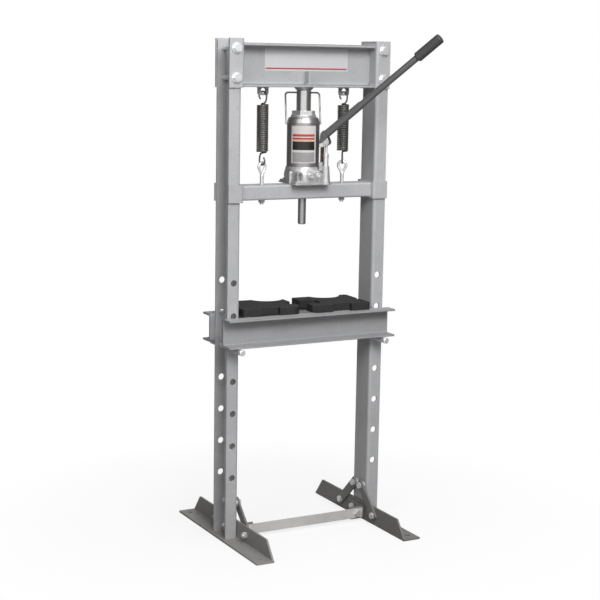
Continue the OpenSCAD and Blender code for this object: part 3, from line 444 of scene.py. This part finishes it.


# Bare metal on the jaw's outer face, its bright colour partly a painted highlight.
bare_highlight_colour, bare_highlight_shine, bare_highlight_metal = (0.72, 0.71, 0.70), -0.12, 0.80
face_from, face_full, below_from, below_full = -0.0085, -0.0098, 0.0108, 0.0128
pump, jack_axis = box_middle("pump_cylinder"), box_middle("jack_ram")
across_pump = Vector((jack_axis.y - pump.y, pump.x - jack_axis.x, 0)).normalized()
lower_tube = box_middle("lever_lower_tube")
lever_axis = (box_middle("lever_upper_tube") - lower_tube).normalized()
under_lever = (lever_axis * lever_axis.z - Vector((0, 0, 1))).normalized()
socket_paint = finishes["socket_paint"] = finishes["lever_paint"].copy()
socket_paint.name = "socket_paint"
tree = socket_paint.node_tree
shader = tree.nodes["Principled BSDF"]
colour, roughness = (shader.inputs[label].links[0].from_socket for label in ("Base Color", "Roughness"))
outer_face = remap(tree, distance_along(tree, pump, across_pump), face_from, face_full)
below_paint = remap(tree, distance_along(tree, lower_tube, under_lever), below_from, below_full)
bare_highlight_mask = math_node(tree, "MULTIPLY", outer_face, below_paint)
wire(tree, (mix_colour(tree, bare_highlight_mask, colour, bare_highlight_colour), shader.inputs["Base Color"]),
     (weigh(tree, (roughness, 1), (bare_highlight_mask, bare_highlight_shine)), shader.inputs["Roughness"]),
     (remap(tree, bare_highlight_mask, 0.0, 1.0, shader.inputs["Metallic"].default_value, bare_highlight_metal),
      shader.inputs["Metallic"]))
nodes["handle_socket"].material_slots[0].material = socket_paint
print("the pump's plane faces", [round(c, 3) for c in across_pump])

# %% [markdown]
# ## Geometry trees that run once
# Springs, weld beads and threads all follow a path. Geometry Nodes suit them: a tree with named sizes
# grows the shape, and a changed size regrows it. The press needs plain meshes in the end, so each tree
# is run once on a small holder object, its result is kept, and the holder goes.

# %% Helpers that build and run a geometry tree
def new_geometry_tree(name, **sizes):
    """A tree that takes a path, these sizes and a finish."""
    tree = bpy.data.node_groups.new(name, "GeometryNodeTree")
    tree.is_modifier = True
    tree.interface.new_socket(name="Geometry", in_out="INPUT", socket_type="NodeSocketGeometry")
    for label, default in sizes.items():
        add_input(tree, label, default)
    tree.interface.new_socket(name="Finish", in_out="INPUT", socket_type="NodeSocketMaterial")
    tree.interface.new_socket(name="Geometry", in_out="OUTPUT", socket_type="NodeSocketGeometry")
    return tree, add_node(tree, "NodeGroupInput").outputs


def close_tree(tree, given, geometry):
    """The last steps that every tree here shares: smooth faces, real geometry, one material."""
    smooth = add_node(tree, "GeometryNodeSetShadeSmooth")
    real = add_node(tree, "GeometryNodeRealizeInstances")
    painted = add_node(tree, "GeometryNodeSetMaterial")
    result = add_node(tree, "NodeGroupOutput")
    wire(tree, (geometry, smooth.inputs["Geometry"]), (smooth.outputs[0], real.inputs[0]),
         (real.outputs[0], painted.inputs["Geometry"]), (given["Finish"], painted.inputs["Material"]),
         (painted.outputs[0], result.inputs[0]))
    print(tree.name, "tree has", len(tree.nodes), "nodes")


def evenly_spaced(tree, given, spacing):
    """The given path as a curve, with a point at every `spacing`."""
    as_curve = add_node(tree, "GeometryNodeMeshToCurve")
    spaced = add_node(tree, "GeometryNodeResampleCurve", mode="LENGTH")
    wire(tree, (given["Geometry"], as_curve.inputs[0]), (as_curve.outputs[0], spaced.inputs["Curve"]),
         (spacing, spaced.inputs["Length"]))
    return spaced.outputs[0]


def sweep(tree, curve, radius, sides):
    """A round or many-sided section swept along a curve, with closed ends."""
    section = add_node(tree, "GeometryNodeCurvePrimitiveCircle")
    feed(tree, section.inputs["Resolution"], sides)
    swept = fill(add_node(tree, "GeometryNodeCurveToMesh"), Fill_Caps=True)
    wire(tree, (radius, section.inputs["Radius"]), (curve, swept.inputs["Curve"]),
         (section.outputs[0], swept.inputs["Profile Curve"]))
    return swept.outputs[0]


def keep(name, mesh, body=None):
    """Puts a finished mesh in the scene at the origin, riding on a body of the press."""
    print(f"{name}: {len(mesh.polygons)} faces")
    piece = bpy.data.objects.new(name, mesh)
    bpy.context.scene.collection.objects.link(piece)
    if body:
        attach(piece, body)
    return piece


def path_mesh(name, paths):
    """Loose edges through each list of points."""
    vertices, edges = [], []
    for points in paths:
        first = len(vertices)
        vertices.extend(points)
        edges.extend((first + i, first + i + 1) for i in range(len(points) - 1))
    mesh = bpy.data.meshes.new(name)
    mesh.from_pydata(vertices, edges, [])
    return mesh


def grow(name, tree, paths, finish, body=None, slot=None, **sizes):
    """Runs a tree once along the paths and keeps what grows."""
    holder = bpy.data.objects.new(name + "_path", path_mesh(name + "_path", paths))
    bpy.context.scene.collection.objects.link(holder)
    modifier = holder.modifiers.new("grow", "NODES")
    modifier.node_group = tree
    values = {label.replace("_", " "): value for label, value in sizes.items()}
    values["Finish"] = finishes[finish]
    for item in tree.interface.items_tree:
        if item.in_out == "INPUT" and item.name in values:
            modifier[item.identifier] = values[item.name]
    depsgraph = bpy.context.evaluated_depsgraph_get()
    mesh = bpy.data.meshes.new_from_object(
        holder.evaluated_get(depsgraph), preserve_all_data_layers=True, depsgraph=depsgraph)
    holder.modifiers.clear()
    bpy.data.objects.remove(holder)
    mesh.name = name
    return keep(name, mesh, body)


# %% [markdown]
# ## The return springs
# Two extension springs pull the ram beam back up. Each is one piece of round wire: a hook, about two
# dozen closely wound turns, and another hook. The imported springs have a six-sided wire. Here the same
# path is swept with a round section. A curve with a bevel would do, but a tree keeps the wire's radius
# and its number of sides as named sizes.

# %% Sweep a round wire along any path
round_wire, given = new_geometry_tree("Round Wire", Wire_Radius=0.002, Sides=12)
as_curve = add_node(round_wire, "GeometryNodeMeshToCurve")
round_wire.links.new(given["Geometry"], as_curve.inputs[0])
swept = sweep(round_wire, as_curve.outputs[0], given["Wire Radius"], given["Sides"])
close_tree(round_wire, given, swept)

# %% [markdown]
# The path is worked out in three stretches. The coil is a helix. Before a hook begins, the wire winds
# in to the middle of the coil and crosses it, so that the pull stays on the spring's axis. It then
# climbs, bends over in most of a circle and stops short of closing. The two hooks of a spring point
# different ways, as they do after winding: the upper one goes through a tab under the head, the lower
# one through the eye of a bolt on the ram beam.

# %% Work out a spring's path
spring_wire, spring_outer, hook_reach, hook_radius = 0.0044, 0.031, 0.034, 0.0104
coil_radius, coil_pitch = (spring_outer - spring_wire) / 2, spring_wire * 1.045
hook_lead = math.radians(60)  # the part of the last turn that already belongs to the hook
lift = 0.0016  # how far the wire leaves the coil while it winds in
coil_steps, wind_steps, climb_steps, bend_steps, bend_step = 30, 20, 16, 40, 6


def cubic(s, *handles):
    """A point on the curve that four (x, z) handles pull into shape."""
    q = 1 - s
    weights = (q ** 3, 3 * q * q * s, 3 * q * s * s, s ** 3)
    return [sum(weight * handle[k] for weight, handle in zip(weights, handles)) for k in (0, 1)]


def hook_points():
    """From the coil's last turn to the hook's tip: (across, sideways, up)."""
    wound, rise = coil_pitch / 3, hook_reach - hook_radius
    crossing = wound + lift
    points = []
    for s in (i / wind_steps for i in range(1, wind_steps)):
        radius, angle = coil_radius * math.cos(math.pi / 2 * s), hook_lead + (math.pi - hook_lead) * s
        points.append((radius * math.cos(angle), radius * math.sin(angle), wound * s + lift * s * s))
    for i in range(climb_steps):
        x, z = cubic(i / climb_steps, (0, crossing), (0.75 * hook_radius, crossing + lift / 2),
                     (hook_radius, crossing + 0.4 * (rise - crossing)), (hook_radius, rise))
        points.append((x, 0.0, z))
    for angle in (math.radians(bend_step * i) for i in range(bend_steps)):
        points.append((hook_radius * math.cos(angle), 0.0, rise + hook_radius * math.sin(angle)))
    return points


def turned(point, angle):
    c, s = math.cos(angle), math.sin(angle)
    return (point[0] * c - point[1] * s, point[0] * s + point[1] * c, point[2])


def spring_path(centre_x, coil_bottom, coil_top, top_turn, bottom_turn):
    start = bottom_turn - hook_lead
    turns = math.floor((coil_top - coil_bottom) / coil_pitch)
    sweep_angle = 2 * math.pi * turns + top_turn + hook_lead - start
    hook, points = hook_points(), []
    for across, sideways, up in reversed(hook):
        x, y, z = turned((across, -sideways, up), bottom_turn)
        points.append((centre_x + x, y, coil_bottom - z))
    for s in (i / (turns * coil_steps) for i in range(turns * coil_steps + 1)):
        angle = start + sweep_angle * s
        points.append((centre_x + coil_radius * math.cos(angle), coil_radius * math.sin(angle),
                       coil_bottom + (coil_top - coil_bottom) * s))
    for point in hook:
        x, y, z = turned(point, top_turn)
        points.append((centre_x + x, y, coil_top + z))
    return points


# %% [markdown]
# The springs stretch when the ram beam goes down. Here each is grown as one rigid piece along its path,
# and the imported spring is hidden.

# %% Make both springs
def spring_x(side):
    """A spring and its eye bolt hang under the middle of the spring's tab."""
    tab_low, tab_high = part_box(side + "_spring_tab")
    return (tab_low[0] + tab_high[0]) / 2


hook_turns = {"left": (-50, 103), "right": (-50, 62)}  # degrees: the upper hook, the lower hook
for side, turns in hook_turns.items():
    low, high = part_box(side + "_spring")
    centre_x, end = spring_x(side), spring_wire / 2 + hook_reach
    coil_bottom, coil_top = low[2] + end, high[2] - end
    path = spring_path(centre_x, coil_bottom, coil_top, *map(math.radians, turns))
    spring = grow(f"{side}_return_spring", round_wire, [path], "spring_steel",
                  Wire_Radius=spring_wire / 2, Sides=12)
    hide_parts(side + "_spring")
    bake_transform(spring)
    print(side, "spring: coil from", round(coil_bottom, 4), "to", round(coil_top, 4))

# %% [markdown]
# ## Weld beads
# The head beam is welded between its brackets, the ribs and tabs are welded to the beam, the ram beam to
# its sleeves, and the spacers to the bed's channels. A bead is a row of small puddles, each frozen just
# before the next was laid over it. Sweeping a round section would miss those ripples. So a tree walks
# along each joint, drops a flattened ball at every step, turns it square to the path and varies its
# size a little from a fixed seed.

# %% Lay puddles along a path
narrowest, widest, overlap = 0.86, 1.10, 1.05
weld_bead, given = new_geometry_tree("Weld Bead", Bead_Radius=0.0028, Ripple=0.0019, Seed=7)
puddle = fill(add_node(weld_bead, "GeometryNodeMeshUVSphere"), Segments=8, Rings=6, Radius=1.0)
placed = add_node(weld_bead, "GeometryNodeInstanceOnPoints")
tangent = add_node(weld_bead, "GeometryNodeInputTangent")
square_on = add_node(weld_bead, "FunctionNodeAlignRotationToVector", axis="Z")
breadth = add_node(weld_bead, "FunctionNodeRandomValue", data_type="FLOAT")
breadth.inputs[2].default_value, breadth.inputs[3].default_value = narrowest, widest
measured = math_node(weld_bead, "MULTIPLY", given["Bead Radius"], breadth.outputs[1])
puddle_size = add_node(weld_bead, "ShaderNodeCombineXYZ")
wire(weld_bead, (given["Seed"], breadth.inputs["Seed"]), (measured, puddle_size.inputs["X"]),
     (measured, puddle_size.inputs["Y"]),
     (math_node(weld_bead, "MULTIPLY", given["Ripple"], overlap), puddle_size.inputs["Z"]),
     (evenly_spaced(weld_bead, given, given["Ripple"]), placed.inputs["Points"]),
     (puddle.outputs["Mesh"], placed.inputs["Instance"]),
     (tangent.outputs[0], square_on.inputs["Vector"]),
     (square_on.outputs[0], placed.inputs["Rotation"]), (puddle_size.outputs[0], placed.inputs["Scale"]))
close_tree(weld_bead, given, placed.outputs[0])

# %% [markdown]
# Every joint's corner line comes from the pieces' own boxes. A line starts and stops a little inside the
# joint, as a welder does, and one mesh holds all the beads of a body.

# %% Trace the joints of the head
def both_sides(lines):
    """Each line, and its mirror image across the middle of the press."""
    return lines + [[(-x, y, z) for x, y, z in line] for line in lines]


def upright_line(x, y, bottom, top):
    return [(x, y, bottom), (x, y, top)]


def level_line(x, z, y_from, y_to):
    return [(x, y_from, z), (x, y_to, z)]


half_web = 0.003  # of the head beam
corner_gap, web_gap, rib_gap, edge_gap, tab_gap = 0.008, 0.012, 0.011, 0.002, 0.001
beam_low, beam_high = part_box("head_beam")
rib_low, rib_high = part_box("head_ribs")
tab_low, tab_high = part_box("right_spring_tab")
under, over = rib_low[2], beam_high[2] - (rib_low[2] - beam_low[2])  # the inner faces of both flanges
beam_x, rib_x = beam_high[0], rib_high[0]
head_joints = []
for front in (-1, 1):
    web = front * half_web
    edge, rib_edge = front * (beam_high[1] - edge_gap), front * (rib_high[1] - edge_gap)
    head_joints += both_sides([
        upright_line(beam_x, web, under + corner_gap, over - corner_gap),
        level_line(beam_x, under, front * web_gap, edge),
        level_line(beam_x, over, front * web_gap, edge),
        upright_line(rib_x, web, under + corner_gap, rib_high[2] - tab_gap),
        level_line(rib_x, under, front * rib_gap, rib_edge)])
    head_joints += both_sides([[(x, front * tab_high[1], beam_low[2])
                                for x in (tab_low[0] + tab_gap, tab_high[0] - tab_gap)]])
head_joints += both_sides([
    level_line(beam_x, beam_high[2], beam_low[1] + edge_gap, beam_high[1] - edge_gap)])
grow("head_weld_beads", weld_bead, head_joints, "frame_paint", "frame", "frame_paint",
     Bead_Radius=0.0026, Ripple=0.0019, Seed=7)

# %% Trace the joints of the ram beam and of the bed
low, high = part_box("ram_beam")
corner = 0.005
front_y, back_y, lower_z, upper_z = low[1] + corner, high[1] - corner, low[2] + corner, high[2] - corner
outline = []
for first, y, z in ((0, back_y, upper_z), (90, front_y, upper_z), (180, front_y, lower_z),
                    (270, back_y, lower_z)):
    for angle in (math.radians(first + turn) for turn in range(0, 91, 30)):
        outline.append((high[0], y + corner * math.cos(angle), z + corner * math.sin(angle)))
grow("ram_beam_weld_beads", weld_bead, both_sides([outline + outline[:1]]), "frame_paint",
     "ram_carriage", "frame_paint", Bead_Radius=0.0024, Ripple=0.0018, Seed=11)

low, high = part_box("bed_spacers")
spacer_thickness, end_gap = 0.008, 0.004
bed_joints = []
for face_x in (high[0], high[0] - spacer_thickness):
    for web in (low[1], high[1]):
        bed_joints += both_sides([upright_line(face_x, web, low[2] + end_gap, high[2] - end_gap)])
grow("bed_weld_beads", weld_bead, bed_joints, "frame_paint", "bed", "frame_paint",
     Bead_Radius=0.0026, Ripple=0.0021, Seed=13)

# %% [markdown]
# ## Screw threads
# Each bolt ends a few millimetres past its nut, and what shows there is thread: a ridge that winds
# round the shank once for every pitch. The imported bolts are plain. The tree starts from a straight line
# on the bolt's axis, pushes each point out by the radius, turns it a little further than the one
# before, and sweeps a small ridge along that.

# %% Wind a thread round an axis
ridge_share, ridge_sides, points_a_turn = 0.36, 6, 18.0
screw_thread, given = new_geometry_tree("Screw Thread", Thread_Radius=0.005, Pitch=0.0015)
pushed = add_node(screw_thread, "GeometryNodeSetPosition")
along = add_node(screw_thread, "GeometryNodeSplineParameter")
curve_normal = add_node(screw_thread, "GeometryNodeInputNormal")
tangent = add_node(screw_thread, "GeometryNodeInputTangent")
swing = add_node(screw_thread, "ShaderNodeVectorRotate", rotation_type="AXIS_ANGLE")
outwards = add_node(screw_thread, "ShaderNodeVectorMath", operation="SCALE")
spacing = math_node(screw_thread, "DIVIDE", given["Pitch"], points_a_turn)
turn_count = math_node(screw_thread, "DIVIDE", along.outputs["Length"], given["Pitch"])
wire(screw_thread, (evenly_spaced(screw_thread, given, spacing), pushed.inputs["Geometry"]),
     (curve_normal.outputs[0], swing.inputs["Vector"]), (tangent.outputs[0], swing.inputs["Axis"]),
     (math_node(screw_thread, "MULTIPLY", turn_count, 2 * math.pi), swing.inputs["Angle"]),
     (swing.outputs[0], outwards.inputs[0]), (given["Thread Radius"], outwards.inputs["Scale"]),
     (outwards.outputs[0], pushed.inputs["Offset"]))
ridge_radius = math_node(screw_thread, "MULTIPLY", given["Pitch"], ridge_share)
close_tree(screw_thread, given, sweep(screw_thread, pushed.outputs[0], ridge_radius, ridge_sides))

# %% [markdown]
# The ends are found rather than typed in. A node such as "head_bolts" holds several loose bolts, so its
# mesh is split into islands, and each island's box gives one bolt: its long side is its axis, and the
# end away from the head is the one with the thread. Bolts that run from front to back have it behind,
# and those that run sideways have it on the outside.

# %% Find the islands of a node
def islands(name):
    """The box (low, high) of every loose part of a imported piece, in metres."""
    mesh = nodes[name].data
    owner = list(range(len(mesh.vertices)))

    def root(i):
        while owner[i] != i:
            owner[i] = owner[owner[i]]
            i = owner[i]
        return i

    at = {}
    for vertex in mesh.vertices:
        key = tuple(round(c, 6) for c in vertex.co)
        owner[vertex.index] = root(at.setdefault(key, vertex.index))
    for polygon in mesh.polygons:
        first = root(polygon.vertices[0])
        for other in polygon.vertices[1:]:
            owner[root(other)] = first
    groups = {}
    for vertex in mesh.vertices:
        groups.setdefault(root(vertex.index), []).append(vertex.co)
    return [(Vector(map(min, *points)), Vector(map(max, *points))) for points in groups.values()]


# %% Cut the threads
thread_shown, eye_thread_shown, tip_inset = 0.0034, 0.0044, 0.0006


def thread_axes(name):
    """A short line on the axis of each bolt that ends just before its tip."""
    lines = []
    for low, high in islands(name):
        size, middle = high - low, (low + high) / 2
        axis = 0 if size.x > size.y else 1
        away = -1 if axis == 0 and middle.x < 0 else 1
        tip, inner = middle.copy(), middle.copy()
        tip[axis] = (high if away > 0 else low)[axis] - away * tip_inset
        inner[axis] = tip[axis] - away * thread_shown
        lines.append([tuple(inner), tuple(tip)])
    return lines


eye_threads = []
for side in ("left", "right"):
    tip_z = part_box(side + "_eye_bolt")[0][2] + tip_inset
    eye_threads.append([(spring_x(side), 0.0, tip_z + eye_thread_shown), (spring_x(side), 0.0, tip_z)])
grow("head_bolt_threads", screw_thread, thread_axes("head_bolts"), "zinc_plated",
     "frame", "zinc_plated", Thread_Radius=0.0058, Pitch=0.00175)
grow("base_bolt_threads", screw_thread, thread_axes("base_bolts"), "zinc_plated",
     "frame", "zinc_plated", Thread_Radius=0.0048, Pitch=0.0015)
grow("eye_bolt_threads", screw_thread, eye_threads, "zinc_plated",
     "ram_carriage", "zinc_plated", Thread_Radius=0.0048, Pitch=0.0015)

# %% [markdown]
# ## Plates for labels
# A press carries a plate on its head and a sticker on its jack. Both are left without words or marks:
# the plate is bare satin film with a thin coloured rule, and the sticker keeps only plain fields. Each
# is a real skin a fraction of a millimetre thick, so it can't flicker against the metal under it. The
# sticker's colours are separate materials on separate rows of faces, which keeps every border sharp.

# %% Finishes for printed film
films = {  # colour, and how much lighter the colour is where it mottles
    "pale_film": ((0.56, 0.56, 0.58), 0.05), "white_film": ((0.60, 0.57, 0.56), 0.05),
    "red_ink": ((0.40, 0.055, 0.05), 0.03), "orange_ink": ((0.70, 0.38, 0.20), 0.03),
    "black_ink": ((0.010, 0.010, 0.010), 0.006), "ruled_ink": ((0.30, 0.29, 0.29), 0.10)}
for name, (colour, mottle) in films.items():
    surface(name, sand, 0.0, (0.03, 0.00005), Skin=(*colour, 1.0),
            Rubbed=(*[c + mottle for c in colour], 1.0), Grain_Scale=900.0, Rubbed_Amount=0.5,
            Gloss=0.28)
print("films:", ", ".join(films))


# %% A thin sheet over a grid
def skin(name, rows, columns, point_at, thickness, film_of, body):
    """A closed sheet. `point_at(row, column, lift)` is a corner, `film_of(r, c)` the film of a cell."""
    wide, last_row, last_column = len(columns), len(rows) - 1, len(columns) - 1
    top = len(rows) * wide
    vertices = [point_at(row, column, lift)
                for lift in (0.0, thickness) for row in rows for column in columns]
    faces, used = [], []
    for r in range(last_row):
        for c in range(last_column):
            a, b = r * wide + c, (r + 1) * wide + c
            faces += [(top + a, top + a + 1, top + b + 1, top + b), (a, b, b + 1, a + 1)]
            used += [film_of(r, c)] * 2
    border = [c for c in range(last_column)] + [r * wide + last_column for r in range(last_row)]
    border += [last_row * wide + c for c in range(last_column, 0, -1)]
    border += [r * wide for r in range(last_row, 0, -1)]
    for a, b in zip(border, border[1:] + border[:1]):
        faces.append((a, b, top + b, top + a))
        used.append(film_of(0, 0))
    mesh = bpy.data.meshes.new(name)
    mesh.from_pydata(vertices, [], faces)
    palette = list(dict.fromkeys(used))
    for film in palette:
        mesh.materials.append(finishes[film])
    for polygon, film in zip(mesh.polygons, used):
        polygon.material_index = palette.index(film)
    shape = bmesh.new()
    shape.from_mesh(mesh)
    bmesh.ops.recalc_face_normals(shape, faces=shape.faces)
    shape.to_mesh(mesh)
    shape.free()
    return keep(name, mesh, body)


# %% Cut the head's plate
plate_left, plate_right = -0.1160, 0.1270
plate_bottom, plate_top = beam_low[2] + 0.0410, beam_low[2] + 0.1020
rule_bottom, rule_top = plate_bottom + 0.0042, plate_bottom + 0.0080
plate_border, plate_thickness, plate_gap = 0.0025, 0.0004, 0.00002
plate_rows = [plate_bottom, plate_bottom + plate_border, rule_bottom, rule_top,
              plate_top - plate_border, plate_top]
plate_columns = [plate_left, plate_left + plate_border, plate_right - plate_border, plate_right]
skin("head_label_plate", plate_rows, plate_columns,
     lambda z, x, lift: (x, -half_web - plate_gap - lift, z), plate_thickness,
     lambda r, c: "red_ink" if (r, c) == (2, 1) else "pale_film", "frame")

# %% Cut the jack's sticker
tank_low, tank_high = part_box("jack_tank")
tank_x, tank_y = (tank_low[0] + tank_high[0]) / 2, (tank_low[1] + tank_high[1]) / 2
tank_radius = (tank_high[0] - tank_low[0]) / 2
sticker_bottom, sticker_thickness, sticker_gap = tank_low[2] + 0.0103, 0.0002, 0.00003
middle_turn, half_turn, sticker_cells, plain_cells = -115.7, 47.3, 32, 2
bands = [  # heights from the bottom up
    (0.0025, "white_film"), (0.0253, "ruled_ink"), (0.0059, "white_film"), (0.0218, "black_ink"),
    (0.0035, "orange_ink"), (0.0015, "white_film"), (0.0050, "red_ink"), (0.0030, "white_film"),
    (0.0060, "red_ink"), (0.0190, "white_film"), (0.0025, "white_film")]
sticker_rows = [sticker_bottom]
for height, film in bands:
    sticker_rows.append(sticker_rows[-1] + height)
first_turn, cell_turn = middle_turn - half_turn, 2 * half_turn / sticker_cells
sticker_columns = [first_turn + cell_turn * i for i in range(sticker_cells + 1)]


def on_tank(z, turn, lift):
    angle, radius = math.radians(turn), tank_radius + sticker_gap + lift
    return (tank_x + radius * math.cos(angle), tank_y + radius * math.sin(angle), z)


skin("jack_label", sticker_rows, sticker_columns, on_tank, sticker_thickness,
     lambda r, c: bands[r][1] if plain_cells <= c < sticker_cells - plain_cells else "white_film",
     "ram_carriage")

# %% [markdown]
# ## Floor and background
# A studio sweep is a pale floor that runs up into a pale wall. Here the floor is a wide flat disc. For
# rays from the camera it mixes a white glow with a matt part that still takes the shadow. Away from the
# feet the glow takes over, so that no horizon shows. For light that bounces off it the floor is plain
# grey, or it would lift the undersides and the lower ends of the uprights too much. Gloss sees the
# white floor only along the set, where the paper lies, and dim floor at the sides.

# %% Helpers for the set
set_axis = (0.4746, 0.8802, 0.0)  # from the front of the set to the paper behind the press
paper_gloss = 0.40  # how much of the paper behind shows in gloss


def along_set(tree, direction):
    """How closely a direction follows the set: 1 towards the paper, -1 towards its front."""
    match = add_node(tree, "ShaderNodeVectorMath", operation="DOT_PRODUCT")
    match.inputs[1].default_value = set_axis
    tree.links.new(direction, match.inputs[0])
    return match.outputs["Value"]


def show_mix(tree, share, first, second, output):
    """Shows the second shader by `share`, and the first for the rest."""
    mixed, surface_output = add_node(tree, "ShaderNodeMixShader"), add_node(tree, output)
    wire(tree, (share, mixed.inputs[0]), (first.outputs[0], mixed.inputs[1]),
         (second.outputs[0], mixed.inputs[2]), (mixed.outputs[0], surface_output.inputs["Surface"]))


# %% Lay the floor
floor_radius, floor_z, glow_from, glow_full, least_glow = 14.0, -0.0002, 0.34, 0.95, 0.78
floor_mesh = bpy.data.meshes.new("studio_floor")
shape = bmesh.new()
bmesh.ops.create_circle(shape, cap_ends=True, segments=96, radius=floor_radius)
for vertex in shape.verts:
    vertex.co.z = floor_z
shape.to_mesh(floor_mesh)
shape.free()
floor = bpy.data.objects.new("studio_floor", floor_mesh)
bpy.context.scene.collection.objects.link(floor)
floor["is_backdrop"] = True

floor_paint = bpy.data.materials.new("studio_floor")
floor_paint.use_nodes = True
tree = floor_paint.node_tree
tree.nodes.clear()
rays = add_node(tree, "ShaderNodeLightPath").outputs
outwards = add_node(tree, "ShaderNodeVectorMath", operation="NORMALIZE")
distance = add_node(tree, "ShaderNodeVectorMath", operation="LENGTH")
place = object_place(tree)
wire(tree, (place, outwards.inputs[0]), (place, distance.inputs[0]))
bearing = along_set(tree, outwards.outputs[0])
on_paper = math_node(tree, "MAXIMUM", remap(tree, bearing, -0.70, -0.92),
                     remap(tree, bearing, 0.80, 0.96, 0.0, paper_gloss))
seen = math_node(tree, "MAXIMUM", rays["Is Camera Ray"],
                 math_node(tree, "MULTIPLY", rays["Is Glossy Ray"], on_paper))
matt = add_node(tree, "ShaderNodeBsdfDiffuse")
tree.links.new(mix_colour(tree, seen, grey(0.32), grey(0.86)), matt.inputs["Color"])
glow = fill(add_node(tree, "ShaderNodeEmission"), Color=(1, 1, 1, 1), Strength=1.0)
glow_share = remap(tree, distance.outputs["Value"], glow_from, glow_full, least_glow, 1.0)
glowing = math_node(tree, "MULTIPLY", seen, glow_share)
show_mix(tree, glowing, matt, glow, "ShaderNodeOutputMaterial")
floor_mesh.materials.append(floor_paint)
print("floor is a disc of", floor_radius, "m radius")

# %% [markdown]
# The world is the room. Straight from the camera it is white. Metal has to reflect something as well,
# and an evenly white room makes a chromed ram look like chalk. A real set is white only where paper
# hangs behind the object and where big soft boxes stand in front, and it is dim at the sides. So rays
# that come off gloss find white ahead and behind, and the dim room in between.

# %% Paint the room
front_gloss, room_light = 0.80, 0.10
world = bpy.data.worlds.new("studio")
world.use_nodes = True
bpy.context.scene.world = world
tree = world.node_tree
tree.nodes.clear()
rays = add_node(tree, "ShaderNodeLightPath").outputs
bearing = along_set(tree, add_node(tree, "ShaderNodeTexCoord").outputs["Generated"])
paper_behind = remap(tree, bearing, 0.82, 0.96, 0.0, paper_gloss)
boxes_in_front = remap(tree, bearing, -0.50, -0.88, 0.0, front_gloss)
glossy_white = math_node(tree, "MULTIPLY", rays["Is Glossy Ray"],
                         math_node(tree, "MAXIMUM", paper_behind, boxes_in_front))
straight = math_node(tree, "MAXIMUM", rays["Is Camera Ray"], rays["Is Transmission Ray"])
white = fill(add_node(tree, "ShaderNodeBackground"), Color=(1, 1, 1, 1), Strength=1.0)
ambient = fill(add_node(tree, "ShaderNodeBackground"), Color=(1, 1, 1, 1), Strength=room_light)
shown = math_node(tree, "MAXIMUM", straight, glossy_white)
show_mix(tree, shown, ambient, white, "ShaderNodeOutputWorld")
print("room has", len(tree.nodes), "nodes")

# %% [markdown]
# Large soft lamps do the rest: a key beside the camera, a nearer one in front of the head so that the
# light falls off towards the feet, a weak one from the left, and one overhead for every top surface. A
# low one behind keeps the back from going dark. It is left out of reflections, or it would glare on the
# tops of the plates.

# %% Lamps
def soft_lamp(name, place, aim, size, power, mirrored=True):
    lamp = bpy.data.lights.new(name, "AREA")
    lamp.shape = "DISK"
    lamp.size = size
    lamp.energy = power
    holder = bpy.data.objects.new(name, lamp)
    bpy.context.scene.collection.objects.link(holder)
    holder.location = place
    holder.rotation_mode = "QUATERNION"
    holder.rotation_quaternion = (Vector(aim) - Vector(place)).to_track_quat("-Z", "Y")
    holder.visible_glossy = mirrored
    print(f"{name}: {size} m wide, {power} W")


soft_lamp("key", (-0.8, -3.3, 3.3), (0, 0, 0.9), 1.9, 108)
soft_lamp("front", (0.3, -2.6, 2.2), (0, 0, 1.0), 1.4, 24)
soft_lamp("left", (-2.6, -1.7, 2.4), (0, 0, 1.0), 1.8, 26)
soft_lamp("overhead", (0.3, -0.4, 3.6), (0, 0, 0.9), 2.0, 38)
soft_lamp("back", (1.2, 3.4, 1.4), (0, 0, 0.7), 2.4, 40, mirrored=False)

# %% [markdown]
# ## Last look at the size
# Nothing that was added may make the press bigger than it is. The box of everything shown is measured.

# %% Set the view and measure the size
bpy.context.scene.view_settings.view_transform = "Standard"
low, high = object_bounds()
